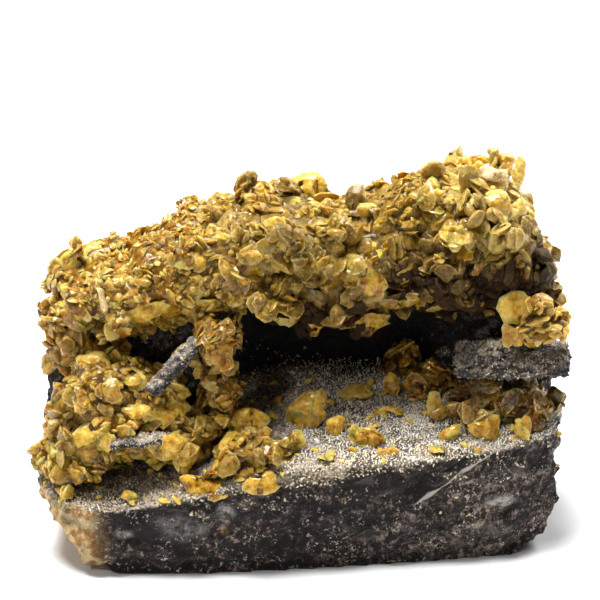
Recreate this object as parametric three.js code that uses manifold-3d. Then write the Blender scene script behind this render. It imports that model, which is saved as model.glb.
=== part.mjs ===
// Siderite on matrix: a block of dark, quartz-veined rock with a hollow in its front, overgrown by
// honey-coloured, lens-shaped siderite crystals. Millimetres, +X to the right, +Y to the back, +Z up.
// The origin is the centre of the block's outline, on the flat underside that it stands on.
import * as THREE from "three";
import { ConvexGeometry } from "three/addons/geometries/ConvexGeometry.js";
import { LoftGeometry } from "three/addons/geometries/LoftGeometry.js";
import { mergeVertices } from "three/addons/utils/BufferGeometryUtils.js";
import Module from "manifold-3d";

// ---------------------------------------------------------------- driving dimensions
const SEAT_GAP = 0.3; // clearance between neighbouring solids
const STATION_STEP = 5; // spacing of the cross-sections along X

const BLOCK_LEFT = -37.5;
const BLOCK_RIGHT = 37.5;
const BLOCK_TOP = 0.4; // the block ends this part of the way up through the mass
const END_BEVEL = 1.8; // rounding of the block's broken ends
const END_RELIEF = 1.6; // relief of the ends over that of the faces
const END_ROW = 20; // the ends' relief is scattered apart from the faces'
const PLATEAU_SLOPE = 0.25; // rise of the plateau towards the back, per millimetre
const PLATEAU_RELIEF = 0.5; // relief of the plateau over that of the faces
const FACE_RELIEF = 1.3; // height of the steps in the broken rock faces

const MASS_LEFT = -38;
const MASS_RIGHT = 38;
const MASS_SIDES = 14; // corners of the mass's cross-section
const MASS_SQUARENESS = 0.8; // exponent that squares the cross-section, 1 for an ellipse
const MASS_END = 0.1; // distance from the mass's ends to its last cross-sections
const MASS_LEAST_REACH = 0.8; // the mass's half-height is never less than this
const MASS_TAPER = 7; // exponent of the rounding of the mass's ends
const CRUST_THICKNESS = 3; // siderite crust on the mass, below its crystals

const CRYSTAL_THICKNESS = 0.34; // half-thickness of a crystal over its radius
const CRYSTAL_SIDES = 6; // corners of a crystal's rim
const CRYSTAL_NOTCH = 0.9; // every other corner of the rim, over the radius
const CRYSTAL_WAVE = 0.22; // height of the rim's wave over the half-thickness
const CRYSTAL_EMERGENCE = 0.08; // how far a crystal's centre stands proud of its surface, over its radius
const CRYSTAL_LEANS = { from: 28, to: 88 };
const CRUST_RADII = { from: 2.3, to: 3.6 };
const CLUSTER_RADII = { from: 1.9, to: 3 };

// Profiles along X: [x, value] pairs in millimetres, straight between them.
const PLATEAU_EDGE_Y = [
  [-37.5, -14], [-34, -19], [-29, -21.5], [-15, -21.5], [0, -20], [15, -18], [30, -15.5], [37.5, -12],
];
const PLATEAU_EDGE_Z = [
  [-37.5, 12.4], [-34, 10.2], [-28, 9.9], [-17, 11.4], [-10, 13.4], [0, 15.9], [20, 16], [28, 16.8],
  [37.5, 18.2],
];
const UNDERSIDE_Z = [[-37.5, 7], [-34.9, 5.6], [-29.4, 0], [34, 0], [37.5, 2.4]];
const HOLLOW_Y = [
  [-37.5, -2], [-20, -3], [-14, -1], [-9, 4], [-3, 6.5], [14, 7], [20, 4], [26, -2], [37.5, -2],
];
const BACK_Y = [[-37.5, 12], [-34, 17], [-10, 21], [12, 20.6], [32, 19], [37.5, 13]];
const MASS_FRONT_Y = [
  [-38, -6], [-24, -8.5], [-8, -7.5], [6, -6.5], [14, -5.5], [24, -8], [32, -7.5], [38, -5],
];
const MASS_BACK_Y = [[-38, 15], [-24, 17.5], [0, 19], [24, 19], [38, 16]];
const MASS_UNDERSIDE_Z = [
  [-38, 29.6], [-25, 30.2], [-16, 31.4], [-8, 33.2], [-2, 31], [3, 30.2], [10, 30.2], [17, 33], [23, 31.2],
  [38, 29.8],
];
const MASS_TOP_Z = [
  [-38, 40.4], [-29, 41], [-22, 43], [-15, 45.4], [-9, 47.2], [0, 48], [6, 46.4], [10, 46.6], [14, 49.4],
  [21, 51.8], [28.5, 52.2], [31, 50.6], [33, 47], [36, 42], [38, 38.5],
];

// The block's outline: how far its corners stand in from the profiles, and the part of the height that
// they are at.
const FRONT_FOOT_IN = 1.2;
const BACK_FOOT_IN = 2.4;
const BACK_FACE = [
  { height: 0.16, inset: 0.4, relief: 1 },
  { height: 0.42, inset: 0, relief: 2 },
  { height: 0.68, inset: 0.6, relief: 2 },
];
const BACK_SHOULDER = { inset: 3, drop: 2, top: 7 };
const HOLLOW_WALL = [{ height: 1, inset: 3 }, { height: 0.7, inset: 1.5 }, { height: 0.3, inset: 0.4 }];
const PLATEAU_BREAKS = [0.95, 0.7, 0.45, 0.2]; // parts of the way from the edge to the hollow's wall
const EDGE_IN = 0.3;
const FRONT_FACE = [0.7, 0.35]; // parts of the edge's height

// Swells of the mass's surface: waves along X that wind round it.
const SWELLS = [
  { height: 0.8, along: 0.5, winds: 3, start: 0 },
  { height: 0.6, along: 0.9, winds: -2, start: 2 },
];

// Colours and finishes.
const STONE = { color: 0x433a36, roughness: 0.85, metalness: 0 };
const DRUSE = { color: 0x554a3a, roughness: 0.6, metalness: 0 };
const QUARTZ = { color: 0xd8d2c4, roughness: 0.3, metalness: 0 };
const HONEY = { color: 0xa88644, roughness: 0.35, metalness: 0 };
const GOLD = { color: 0xcba559, roughness: 0.35, metalness: 0 };
const AMBER = { color: 0x86662f, roughness: 0.4, metalness: 0 };
const RUST = { color: 0x644727, roughness: 0.5, metalness: 0 };

// ---------------------------------------------------------------- numbers and vectors
const radians = (angle) => (angle * Math.PI) / 180;
const blend = (from, to, part) => from + (to - from) * part;

// A fixed fraction between 0 and 1 for each index and channel.
const HASH = { index: 12.9898, channel: 78.233, scale: 43758.5453 };
const scatter = (index, channel) => {
  const wave = Math.sin(index * HASH.index + channel * HASH.channel) * HASH.scale;
  return wave - Math.floor(wave);
};
const between = ({ from, to }, index, channel) => blend(from, to, scatter(index, channel));

// Even cover of the unit square: the index-th point of a low-discrepancy sequence.
const EVEN_STEPS = [0.7548776662, 0.569840291];
const evenPoint = (index) => EVEN_STEPS.map((step) => (0.5 + index * step) % 1);

function profile(pairs, x) {
  const next = pairs.findIndex(([station]) => station >= x);
  if (next < 0) return pairs.at(-1)[1];
  if (next === 0) return pairs[0][1];
  const [[x0, v0], [x1, v1]] = [pairs[next - 1], pairs[next]];
  return blend(v0, v1, (x - x0) / (x1 - x0));
}

function stations(from, to) {
  const count = Math.round((to - from) / STATION_STEP);
  return Array.from({ length: count + 1 }, (_, i) => blend(from, to, i / count));
}

// ---------------------------------------------------------------- solids
const wasm = await Module();
wasm.setup();

function solid(geometry) {
  const bare = new THREE.BufferGeometry().setIndex(geometry.index);
  bare.setAttribute("position", geometry.getAttribute("position"));
  const merged = mergeVertices(bare, 1e-4);
  const vertProperties = merged.attributes.position.array;
  const triVerts = Uint32Array.from(merged.index.array);
  return new wasm.Manifold(new wasm.Mesh({ numProp: 3, vertProperties, triVerts }));
}

const join = (solids) => wasm.Manifold.union(solids);
const largest = (whole) => whole.decompose().reduce((a, b) => (b.volume() > a.volume() ? b : a));
const vectorOf = ({ x, y, z }) => new THREE.Vector3(x, y, z);

// A solid skinned through one closed outline for each x, anticlockwise seen from +X. A corner of an
// outline is [y, z], or [y, z, shift along X].
function loft(places, outlineAt) {
  const sections = places.map((x) =>
    outlineAt(x).map(([y, z, shift = 0]) => new THREE.Vector3(x + shift, y, z)),
  );
  return solid(new LoftGeometry(sections, { capStart: true, capEnd: true }));
}

// ---------------------------------------------------------------- the rock
const plateauZ = (x, y) => profile(PLATEAU_EDGE_Z, x) + PLATEAU_SLOPE * (y - profile(PLATEAU_EDGE_Y, x));
const relief = (x, row) => FACE_RELIEF * (scatter(Math.round(x), row) - 0.5);

// The block at x: an L with the plateau in front and the wall of the hollow rising behind it.
function blockOutline(x, grow) {
  const foot = profile(UNDERSIDE_Z, x);
  const edgeY = profile(PLATEAU_EDGE_Y, x);
  const edgeZ = profile(PLATEAU_EDGE_Z, x);
  const wallY = profile(HOLLOW_Y, x);
  const backY = profile(BACK_Y, x);
  const top = blend(profile(MASS_UNDERSIDE_Z, x), profile(MASS_TOP_Z, x), BLOCK_TOP);
  const backFace = BACK_FACE.map(({ height, inset, relief: strength }, row) => {
    const y = backY - inset + strength * relief(x, row + 1);
    return [y + grow, blend(foot, top, height)];
  });
  const hollowWall = HOLLOW_WALL.map(({ height, inset }) => {
    const z = blend(plateauZ(x, wallY), top, height);
    return height === 1 ? [wallY + inset, z + grow] : [wallY + inset - grow, z];
  });
  const plateau = PLATEAU_BREAKS.map((part, row) => {
    const y = blend(edgeY, wallY, part);
    return [y, plateauZ(x, y) + PLATEAU_RELIEF * relief(x, row + 4) + grow];
  });
  const frontFace = FRONT_FACE.map((part, row) => {
    const y = edgeY + relief(x, row + 8);
    return [y - grow, blend(foot, edgeZ, part)];
  });
  return [
    [edgeY + FRONT_FOOT_IN - grow, foot - grow],
    [backY - BACK_FOOT_IN + grow, foot - grow],
    ...backFace,
    [backY - BACK_SHOULDER.inset + grow, top - BACK_SHOULDER.drop + grow],
    [backY - BACK_SHOULDER.top, top + grow],
    ...hollowWall,
    ...plateau,
    [edgeY + EDGE_IN - grow, edgeZ + grow],
    ...frontFace,
  ];
}

// ---------------------------------------------------------------- the overhanging mass
const swell = (x, angle) =>
  SWELLS.reduce(
    (sum, { height, along, winds, start }) => sum + height * Math.sin(along * x + winds * angle + start),
    0,
  );

// A point of the mass's surface at x. The angle runs from the back, over the top, to the front and under.
function massPoint(x, angle, inset = 0) {
  const [front, back] = [profile(MASS_FRONT_Y, x), profile(MASS_BACK_Y, x)];
  const [under, top] = [profile(MASS_UNDERSIDE_Z, x), profile(MASS_TOP_Z, x)];
  const along = (2 * x - MASS_LEFT - MASS_RIGHT) / (MASS_RIGHT - MASS_LEFT);
  const taper = Math.sqrt(1 - Math.min(Math.abs(along), 1) ** MASS_TAPER);
  const square = (value) => Math.sign(value) * Math.abs(value) ** MASS_SQUARENESS;
  const reach = (low, high) => {
    const half = ((high - low) / 2) * taper + swell(x, angle) - inset;
    return Math.max(half, MASS_LEAST_REACH);
  };
  const y = (front + back) / 2 + reach(front, back) * square(Math.cos(angle));
  const z = (under + top) / 2 + reach(under, top) * square(Math.sin(angle));
  return new THREE.Vector3(x, y, z);
}

// Its normal there, from small steps along X and round the angle.
function massNormal(x, angle) {
  const [stepX, stepAngle] = [0.5, 0.05];
  const alongX = massPoint(x + stepX, angle).sub(massPoint(x - stepX, angle));
  const around = massPoint(x, angle + stepAngle).sub(massPoint(x, angle - stepAngle));
  return around.cross(alongX).normalize();
}

// The mass, or its rock core when inset.
function mass(inset, grow) {
  const [left, right] = [MASS_LEFT + inset + MASS_END, MASS_RIGHT - inset - MASS_END];
  return loft(stations(left, right), (x) => {
    const shift = x === left ? -grow : x === right ? grow : 0;
    return Array.from({ length: MASS_SIDES }, (_, corner) => {
      const { y, z } = massPoint(x, (corner / MASS_SIDES) * 2 * Math.PI, inset - grow);
      return [y, z, shift];
    });
  });
}

// The ends are bevelled, and broken like the faces.
function block(grow) {
  const full = stations(BLOCK_LEFT + END_BEVEL, BLOCK_RIGHT - END_BEVEL);
  return loft([BLOCK_LEFT, ...full, BLOCK_RIGHT], (x) => {
    if (full.includes(x)) return blockOutline(x, grow);
    const side = Math.sign(x);
    const outline = blockOutline(x, grow - END_BEVEL);
    return outline.map(([y, z], row) => [y, z, side * grow + END_RELIEF * relief(side, row + END_ROW)]);
  });
}

const rock = (grow) => join([block(grow), mass(CRUST_THICKNESS, grow)]);

// ---------------------------------------------------------------- crystals
const UP = new THREE.Vector3(0, 0, 1);

// A lens-shaped crystal: facets that meet in two blunt points, round a wavy, sharp rim.
function crystal(centre, axis, radius, turn, grow) {
  const half = radius * CRYSTAL_THICKNESS + grow;
  const rim = Array.from({ length: CRYSTAL_SIDES }, (_, corner) => {
    const angle = turn + (corner / CRYSTAL_SIDES) * 2 * Math.PI;
    const size = (corner % 2 ? CRYSTAL_NOTCH : 1) * radius + grow;
    const wave = (corner % 2 ? -1 : 1) * half * CRYSTAL_WAVE;
    return new THREE.Vector3(Math.cos(angle) * size, Math.sin(angle) * size, wave);
  });
  const points = [...rim, new THREE.Vector3(0, 0, half), new THREE.Vector3(0, 0, -half)];
  const pose = new THREE.Quaternion().setFromUnitVectors(UP, axis);
  return solid(new ConvexGeometry(points.map((point) => point.applyQuaternion(pose).add(centre))));
}

// A crystal's flat axis: 0 degrees of lean lies flat on the surface, 90 stands on edge. The turn is
// measured round the surface's normal, from +X.
function leaning(normal, lean, turn) {
  const tangent = new THREE.Vector3(1, 0, 0).projectOnPlane(normal).normalize();
  tangent.applyAxisAngle(normal, radians(turn)).multiplyScalar(Math.sin(radians(lean)));
  return normal.clone().multiplyScalar(Math.cos(radians(lean))).add(tangent);
}

// A crystal standing on a surface point, part of it below the surface.
function rooted(point, normal, { radius, lean, turn }, grow) {
  const centre = point.clone().addScaledVector(normal, radius * CRYSTAL_EMERGENCE);
  return crystal(centre, leaning(normal, lean, turn), radius, radians(turn * 2), grow);
}

// A crystal placed by its own centre.
const placed = ({ radius, lean, turn, ...centre }, grow) =>
  crystal(vectorOf(centre), leaning(UP, lean, turn), radius, radians(turn * 2), grow);

const FULL_TURN = { from: 0, to: 360 };
const anyCrystal = (index, radii) => ({
  radius: between(radii, index, 1),
  lean: between(CRYSTAL_LEANS, index, 2),
  turn: between(FULL_TURN, index, 3),
});

// ---------------------------------------------------------------- the crust on the mass
// Crystals set one by one: x and angle on the mass, then radius, lean and turn.
const CRUST_LANDMARKS = [
  { x: 0.8, angle: 66, radius: 3.6, lean: 30, turn: 250 },
  { x: -6.5, angle: 86, radius: 3.2, lean: 58, turn: 300 },
  { x: -15.8, angle: 86, radius: 2.4, lean: 60, turn: 200 },
  { x: -7.2, angle: 165, radius: 3, lean: 62, turn: 350 },
  { x: 5.8, angle: 123, radius: 3.2, lean: 40, turn: 60 },
  { x: 10.5, angle: 111, radius: 2.8, lean: 70, turn: 150 },
  { x: 12.6, angle: 166, radius: 2.9, lean: 22, turn: 320 },
  { x: 7.6, angle: 161, radius: 3.6, lean: 38, turn: 140 },
  { x: 9.2, angle: 177, radius: 3.8, lean: 26, turn: 230 },
  { x: -1.4, angle: 196, radius: 3, lean: 50, turn: 200 },
  { x: 9.8, angle: 236, radius: 4, lean: 66, turn: 270 },
  { x: 19.5, angle: 132, radius: 3.4, lean: 52, turn: 40 },
  { x: 24.4, angle: 111, radius: 3, lean: 60, turn: 120 },
  { x: 21.8, angle: 161, radius: 3.6, lean: 58, turn: 100 },
  { x: 19, angle: 184, radius: 3.2, lean: 74, turn: 30 },
  { x: -29.2, angle: 154, radius: 3, lean: 50, turn: 200 },
  { x: -22.4, angle: 170, radius: 3.2, lean: 64, turn: 80 },
  { x: -26.2, angle: 198, radius: 3.8, lean: 46, turn: 300 },
  { x: -10.8, angle: 127, radius: 3, lean: 48, turn: 20 },
  { x: 28, angle: 156, radius: 3.4, lean: 44, turn: 60 },
  { x: 32, angle: 183, radius: 3.2, lean: 60, turn: 330 },
  { x: 23.4, angle: 200, radius: 3.2, lean: 70, turn: 20 },
];
const CRUST_CRYSTALS = 52;
const CRUST_REACH = { left: -36, right: 36, from: 10, to: 285 };
const CRUST_TOWARDS_FRONT = 0.7; // exponent below 1: fewer crystals at the back

function crust(grow) {
  const at = (x, angle, spec) => {
    const round = radians(angle);
    return rooted(massPoint(x, round), massNormal(x, round), spec, grow);
  };
  const scattered = Array.from({ length: CRUST_CRYSTALS }, (_, i) => {
    const [across, around] = evenPoint(i);
    const x = blend(CRUST_REACH.left, CRUST_REACH.right, across);
    const angle = blend(CRUST_REACH.from, CRUST_REACH.to, around ** CRUST_TOWARDS_FRONT);
    return at(x, angle, anyCrystal(i, CRUST_RADII));
  });
  const landmarks = CRUST_LANDMARKS.map(({ x, angle, ...spec }) => at(x, angle, spec));
  return join([mass(0, grow), ...scattered, ...landmarks]);
}

// ---------------------------------------------------------------- clusters
// A cluster is rounded lumps covered with crystals, and crystals set one by one.
const LUMP_BULGE = 1.12; // the corners of a lump, over its radii
const LUMP_COVER = { lowest: -0.55, highest: 1, from: 150, to: 390 }; // heights over the radius, bearings
const LUMP_SEED_STEP = 20;

function lump({ x, y, z, rx, ry, rz }, grow) {
  const ball = new THREE.DodecahedronGeometry(LUMP_BULGE);
  return solid(ball.scale(rx + grow, ry + grow, rz + grow).translate(x, y, z));
}

function lumpCrystals({ rx, ry, rz, count, ...centre }, seed, grow) {
  const radii = new THREE.Vector3(rx, ry, rz);
  return Array.from({ length: count }, (_, i) => {
    const [around, level] = evenPoint(i + seed);
    const height = blend(LUMP_COVER.lowest, LUMP_COVER.highest, level);
    const bearing = radians(blend(LUMP_COVER.from, LUMP_COVER.to, around));
    const flat = Math.sqrt(1 - height * height);
    const unit = new THREE.Vector3(Math.cos(bearing) * flat, Math.sin(bearing) * flat, height);
    const point = unit.clone().multiply(radii).add(vectorOf(centre));
    return rooted(point, unit.divide(radii).normalize(), anyCrystal(i + seed, CLUSTER_RADII), grow);
  });
}

function cluster({ seed, lumps, crystals = [] }, grow) {
  const coated = (one, i) => [lump(one, grow), ...lumpCrystals(one, seed + i * LUMP_SEED_STEP, grow)];
  return join([...lumps.flatMap(coated), ...crystals.map((spec) => placed(spec, grow))]);
}

const LEFT_CLUSTER = {
  seed: 200,
  lumps: [
    { x: -26.5, y: -8, z: 20.5, rx: 10, ry: 8, rz: 7.6, count: 13 },
    { x: -18, y: -10.5, z: 17.6, rx: 7, ry: 5.5, rz: 4.4, count: 6 },
    { x: -32.8, y: -11.5, z: 14.5, rx: 4, ry: 6, rz: 6, count: 5 },
  ],
  crystals: [
    { x: -21.4, y: -14, z: 21.6, radius: 4.4, lean: 58, turn: 255 },
    { x: -30.2, y: -16, z: 18.2, radius: 3.6, lean: 66, turn: 280 },
    { x: -30.4, y: -8.5, z: 27, radius: 3.2, lean: 40, turn: 260 },
    { x: -15, y: -13.2, z: 20, radius: 2.8, lean: 60, turn: 310 },
    { x: -23.2, y: -10, z: 25.4, radius: 2.6, lean: 70, turn: 300 },
    { x: -33.6, y: -17.4, z: 11.4, radius: 2.7, lean: 62, turn: 240 },
  ],
};

const PILLAR = {
  seed: 300,
  lumps: [
    { x: -12.6, y: -8.4, z: 30.2, rx: 3, ry: 2.4, rz: 4.2, count: 5 },
    { x: -11.4, y: -7.6, z: 23.4, rx: 3, ry: 2.8, rz: 5, count: 5 },
  ],
};

const FRONT_CLUSTER = {
  seed: 400,
  lumps: [
    { x: -7, y: -13.6, z: 15.6, rx: 5.4, ry: 5, rz: 2.4, count: 0 },
    { x: -7.6, y: -18, z: 13.6, rx: 6, ry: 2.2, rz: 1.8, count: 0 },
  ],
  crystals: [
    { x: -7.7, y: -10.4, z: 18.9, radius: 3.4, lean: 52, turn: 265 },
    { x: -6, y: -13.8, z: 18, radius: 3, lean: 66, turn: 290 },
    { x: -9.6, y: -15.4, z: 16.8, radius: 2.8, lean: 74, turn: 235 },
    { x: -13.4, y: -19.4, z: 13.9, radius: 3.3, lean: 48, turn: 250 },
    { x: -5.2, y: -19.9, z: 14.9, radius: 2.7, lean: 56, turn: 285 },
    { x: -1.4, y: -15.6, z: 17.6, radius: 3.2, lean: 78, turn: 320 },
    { x: -2.8, y: -17.4, z: 15.6, radius: 2.9, lean: 14, turn: 0 },
    { x: -4.6, y: -15.6, z: 17.2, radius: 2.6, lean: 60, turn: 205 },
    { x: -8.4, y: -19.8, z: 13.8, radius: 2.6, lean: 64, turn: 275 },
    { x: -8.6, y: -7.6, z: 18.6, radius: 2.6, lean: 44, turn: 255 },
    { x: -10.8, y: -18, z: 15.2, radius: 2.8, lean: 62, turn: 220 },
    { x: -12.4, y: -12.4, z: 16.4, radius: 2.6, lean: 54, turn: 190 },
  ],
};

const GOLDEN_CLUSTER = {
  seed: 500,
  lumps: [{ x: 33.2, y: -8.4, z: 33.2, rx: 3.8, ry: 2.6, rz: 3.4, count: 7 }],
};

const BROWN_CLUSTER = {
  seed: 600,
  lumps: [
    { x: 26.4, y: -6.4, z: 20.4, rx: 4.4, ry: 3.4, rz: 3, count: 6 },
    { x: 33.4, y: -7, z: 20.6, rx: 4.2, ry: 3.6, rz: 3, count: 6 },
  ],
};

const HOLLOW_CRUST = {
  seed: 700,
  lumps: [
    { x: 15.6, y: 4.4, z: 21.8, rx: 4.4, ry: 2.8, rz: 2.4, count: 4 },
    { x: 19.6, y: 0.6, z: 20.8, rx: 3.6, ry: 3.4, rz: 2.4, count: 7 },
  ],
};

// ---------------------------------------------------------------- loose-looking pieces of rock and quartz
const SPLINTER_SECTIONS = [-1, -0.35, 0.4, 1]; // places along it, over its half-length
const SPLINTER_SIDES = 6;
const SPLINTER_TURN = 20; // bearing of the first side
const SPLINTER_CHIPS = { from: 0.78, to: 1 };
const SPLINTER_END = 0.82; // size of its ends over its middle

// A splinter of rock: a block with chipped corners, its length, depth and height along its own axes.
function splinter({ length, depth, height, roll, pitch, yaw, seed, ...centre }, grow) {
  const [halfLength, halfDepth, halfHeight] = [length, depth, height].map((size) => size / 2 + grow);
  const points = SPLINTER_SECTIONS.flatMap((along, section) =>
    Array.from({ length: SPLINTER_SIDES }, (_, side) => {
      const angle = radians(SPLINTER_TURN + (side / SPLINTER_SIDES) * 360);
      const chip = between(SPLINTER_CHIPS, section * SPLINTER_SIDES + side, seed);
      const size = chip * (Math.abs(along) === 1 ? SPLINTER_END : 1);
      const [y, z] = [Math.cos(angle) * halfDepth * size, Math.sin(angle) * halfHeight * size];
      return new THREE.Vector3(along * halfLength, y, z);
    }),
  );
  const pose = new THREE.Euler(radians(roll), radians(pitch), radians(yaw), "ZYX");
  return solid(new ConvexGeometry(points.map((point) => point.applyEuler(pose).add(vectorOf(centre)))));
}

const BAR = {
  x: -17.8, y: -12.4, z: 28.4, length: 9.8, depth: 3, height: 2.6, roll: 20, pitch: -40, yaw: 30, seed: 11,
};
const SLAB = {
  x: 30.4, y: -6.2, z: 27.4, length: 16, depth: 12, height: 4.2, roll: 8, pitch: -2, yaw: -3, seed: 12,
};
const SLAB_KNOB = {
  x: 27, y: -8.2, z: 29.1, length: 4.4, depth: 3.4, height: 3.4, roll: 0, pitch: -20, yaw: 10, seed: 13,
};
const CHIP = {
  x: -22.4, y: -16.4, z: 19, length: 8.6, depth: 4, height: 2.4, roll: 10, pitch: -4, yaw: 12, seed: 14,
};
const BLADE = {
  x: -27.7, y: -9.8, z: 37.6, length: 3.8, depth: 1.5, height: 1.1, roll: 0, pitch: 76, yaw: 40, seed: 15,
};
const QUARTZ_KNOB = {
  x: 27.6, y: 1.4, z: 52.4, length: 4.2, depth: 3.4, height: 3, roll: 10, pitch: 18, yaw: 20, seed: 16,
};

// Single crystals on the plateau: x, y, height of the centre above the rock, radius, lean and turn.
const PLATEAU_CRYSTALS = [
  { x: 1.5, y: -8.6, lift: 1.8, radius: 3.4, lean: 56, turn: 250 },
  { x: 5, y: -10.4, lift: 0.9, radius: 2.2, lean: 40, turn: 280 },
  { x: 9.4, y: -12.4, lift: 1, radius: 3, lean: 46, turn: 262 },
  { x: 12.3, y: -15.4, lift: 0.5, radius: 1.8, lean: 14, turn: 290 },
  { x: 8.5, y: -2.4, lift: 1, radius: 2.8, lean: 36, turn: 270 },
  { x: 13.2, y: -1.6, lift: 1.7, radius: 2.4, lean: 76, turn: 300 },
  { x: 12.3, y: -6.4, lift: 0.5, radius: 2.9, lean: 12, turn: 200 },
  { x: 21.4, y: -11.4, lift: 0.7, radius: 2.3, lean: 30, turn: 310 },
  { x: 26.4, y: -12, lift: 1.2, radius: 2.6, lean: 52, turn: 285 },
  { x: 19.2, y: -6.8, lift: 1.7, radius: 2.7, lean: 80, turn: 205 },
  { x: 31.6, y: -12.6, lift: 1, radius: 2.2, lean: 60, turn: 245 },
  { x: 19.2, y: -15, lift: 0.4, radius: 1.5, lean: 12, turn: 250 },
  { x: -24, y: -19.3, lift: 0.6, radius: 1.2, lean: 60, turn: 265 },
  { x: 3.6, y: -17.2, lift: 0.4, radius: 1.6, lean: 18, turn: 210 },
];
const onPlateau = ({ lift, ...spec }) => ({ ...spec, z: plateauZ(spec.x, spec.y) + lift });

// ---------------------------------------------------------------- the specimen
// Pieces in the order they take their space: each one is cut clear of all those before it.
const PIECES = [
  ["matrix_rock", STONE, rock],
  ["drusy_quartz_bar", DRUSE, (grow) => splinter(BAR, grow)],
  ["drusy_quartz_slab", DRUSE, (grow) => join([splinter(SLAB, grow), splinter(SLAB_KNOB, grow)])],
  ["embedded_rock_chip", DRUSE, (grow) => splinter(CHIP, grow)],
  ["white_quartz_blade", QUARTZ, (grow) => splinter(BLADE, grow)],
  ["top_quartz_knob", QUARTZ, (grow) => splinter(QUARTZ_KNOB, grow)],
  ["upper_siderite_crust", HONEY, crust],
  ["left_siderite_cluster", HONEY, (grow) => cluster(LEFT_CLUSTER, grow)],
  ["siderite_pillar", AMBER, (grow) => cluster(PILLAR, grow)],
  ["front_siderite_cluster", HONEY, (grow) => cluster(FRONT_CLUSTER, grow)],
  ["golden_siderite_cluster", GOLD, (grow) => cluster(GOLDEN_CLUSTER, grow)],
  ["brown_siderite_cluster", RUST, (grow) => cluster(BROWN_CLUSTER, grow)],
  ["hollow_siderite_crust", AMBER, (grow) => cluster(HOLLOW_CRUST, grow)],
  ...PLATEAU_CRYSTALS.map((spec, i) => {
    const name = `plateau_crystal_${String(i + 1).padStart(2, "0")}`;
    return [name, GOLD, (grow) => placed(onPlateau(spec), grow)];
  }),
];

function meshOf(name, finish, whole) {
  const { numProp, vertProperties, triVerts } = whole.getMesh();
  const geometry = new THREE.BufferGeometry();
  geometry.setAttribute("position", new THREE.BufferAttribute(vertProperties, numProp));
  geometry.setIndex(new THREE.BufferAttribute(triVerts, 1));
  const mesh = new THREE.Mesh(geometry, new THREE.MeshStandardMaterial({ ...finish, flatShading: true }));
  mesh.name = name;
  return mesh;
}

const specimen = new THREE.Group();
let taken = null;
for (const [name, finish, make] of PIECES) {
  const whole = taken ? largest(make(0).subtract(taken)) : make(0);
  specimen.add(meshOf(name, finish, whole));
  taken = taken ? taken.add(make(SEAT_GAP)) : make(SEAT_GAP);
}

export default specimen;
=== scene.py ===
# Siderite on matrix: honey-coloured, lens-shaped crystals over a block of dark, quartz-veined rock with
# a hollow in its front. Metres, +X to the right, +Y to the back, +Z up.
import itertools
import math
from collections import namedtuple

import bmesh
import bpy
import numpy as np
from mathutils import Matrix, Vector, noise
from mathutils.bvhtree import BVHTree


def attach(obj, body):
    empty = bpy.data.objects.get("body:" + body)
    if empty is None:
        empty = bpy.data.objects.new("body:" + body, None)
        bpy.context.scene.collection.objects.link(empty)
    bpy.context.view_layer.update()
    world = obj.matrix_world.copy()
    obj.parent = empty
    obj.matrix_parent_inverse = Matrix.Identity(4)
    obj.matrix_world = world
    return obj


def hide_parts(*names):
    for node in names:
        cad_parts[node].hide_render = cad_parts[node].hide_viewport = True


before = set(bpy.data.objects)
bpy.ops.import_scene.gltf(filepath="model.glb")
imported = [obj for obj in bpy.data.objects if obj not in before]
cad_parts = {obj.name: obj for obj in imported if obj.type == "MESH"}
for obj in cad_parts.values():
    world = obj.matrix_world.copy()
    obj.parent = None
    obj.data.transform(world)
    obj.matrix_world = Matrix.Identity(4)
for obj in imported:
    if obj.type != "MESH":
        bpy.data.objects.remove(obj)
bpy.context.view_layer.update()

# ---------------------------------------------------------------- sizes, in metres where a line doesn't say
MM = 0.001

CAMERA_TARGET = Vector((0, 0, 34 * MM))
CAMERA_DISTANCE = 320 * MM
CAMERA_ELEVATION = math.radians(20)
ALONG_RAY = np.arange(0.8, 1.2, 0.002) * CAMERA_DISTANCE  # where a camera ray can meet the specimen
VIEW_WIDTH = 87 * MM  # what the camera sees from side to side at the target
VIEW_PIXELS = 600  # the same width in pixels
SENSOR = 36.0  # millimetres of film

ROCK_VOXEL = 0.5 * MM
SKIN_VOXEL = 0.7 * MM
STONE_VOXEL = 0.3 * MM  # for the small loose stones
SKIN_SMOOTHING = 6
SKIN_SETBACK = 0.5 * MM  # the body of a crust lies this far below its CAD solid's surface
ROSETTE = 7 * MM  # from one rosette of crystals to the next
DOME = 2.6  # millimetres that the skin falls for each ROSETTE of distance from a rosette's middle
DOME_EDGE = 0.55  # ROSETTEs from the middle, where the skin is neither raised nor lowered
CREVICE = 0.7  # millimetres that the gaps between rosettes are cut deeper
LEAN = 56  # degrees that a crystal's flat side is tipped from the skin, in a rosette's middle
LEAN_LOSS = 30  # degrees less at its edge
LEAN_CHANCE = 11  # degrees more or less, at random
PASSING = 2.2 * MM  # a known crystal may stand this far off its skin, and still be held by it
SUNK = 0.3  # millimetres that its middle lies behind the skin
KEPT_CLEAR = 0.65  # the part of its half width within which nothing is sown
BURIAL = 1.1 * MM  # crystals are darkest at the skin and clear this far above it
PROUD = 0.9 * MM  # a crystal grows freely this far above the skin
PRESSED = 0.7  # and loses this part of its height beyond that
RIM = 0.999  # from here out, as a part of its radius, a lens is one sharp edge
SHARP = math.radians(38)  # faces that meet at more than this show an edge
RIPPLES = np.geomspace(1.3 * MM, 4.5 * MM, 7)  # the lengths of the waves that bend the crystals
RIPPLE_HEIGHT = 0.045  # as a part of a wave's length
GOLD_FRONT = -7  # millimetres along Y: in front of this the golden crystals stand in the light and get painted light; behind it the roof and lower right get painted shade
BEDS_RISE = 0.62  # how steeply the rock's beds climb to the right
BLOCKS = 0.16  # broken blocks of rock to a millimetre
RIDGES = 0.24  # ridges to a millimetre
GRIT = 0.8  # small lumps to a millimetre
LIP_HEIGHT = 10.5 * MM  # the front edge of the plateau, at its left end
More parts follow.
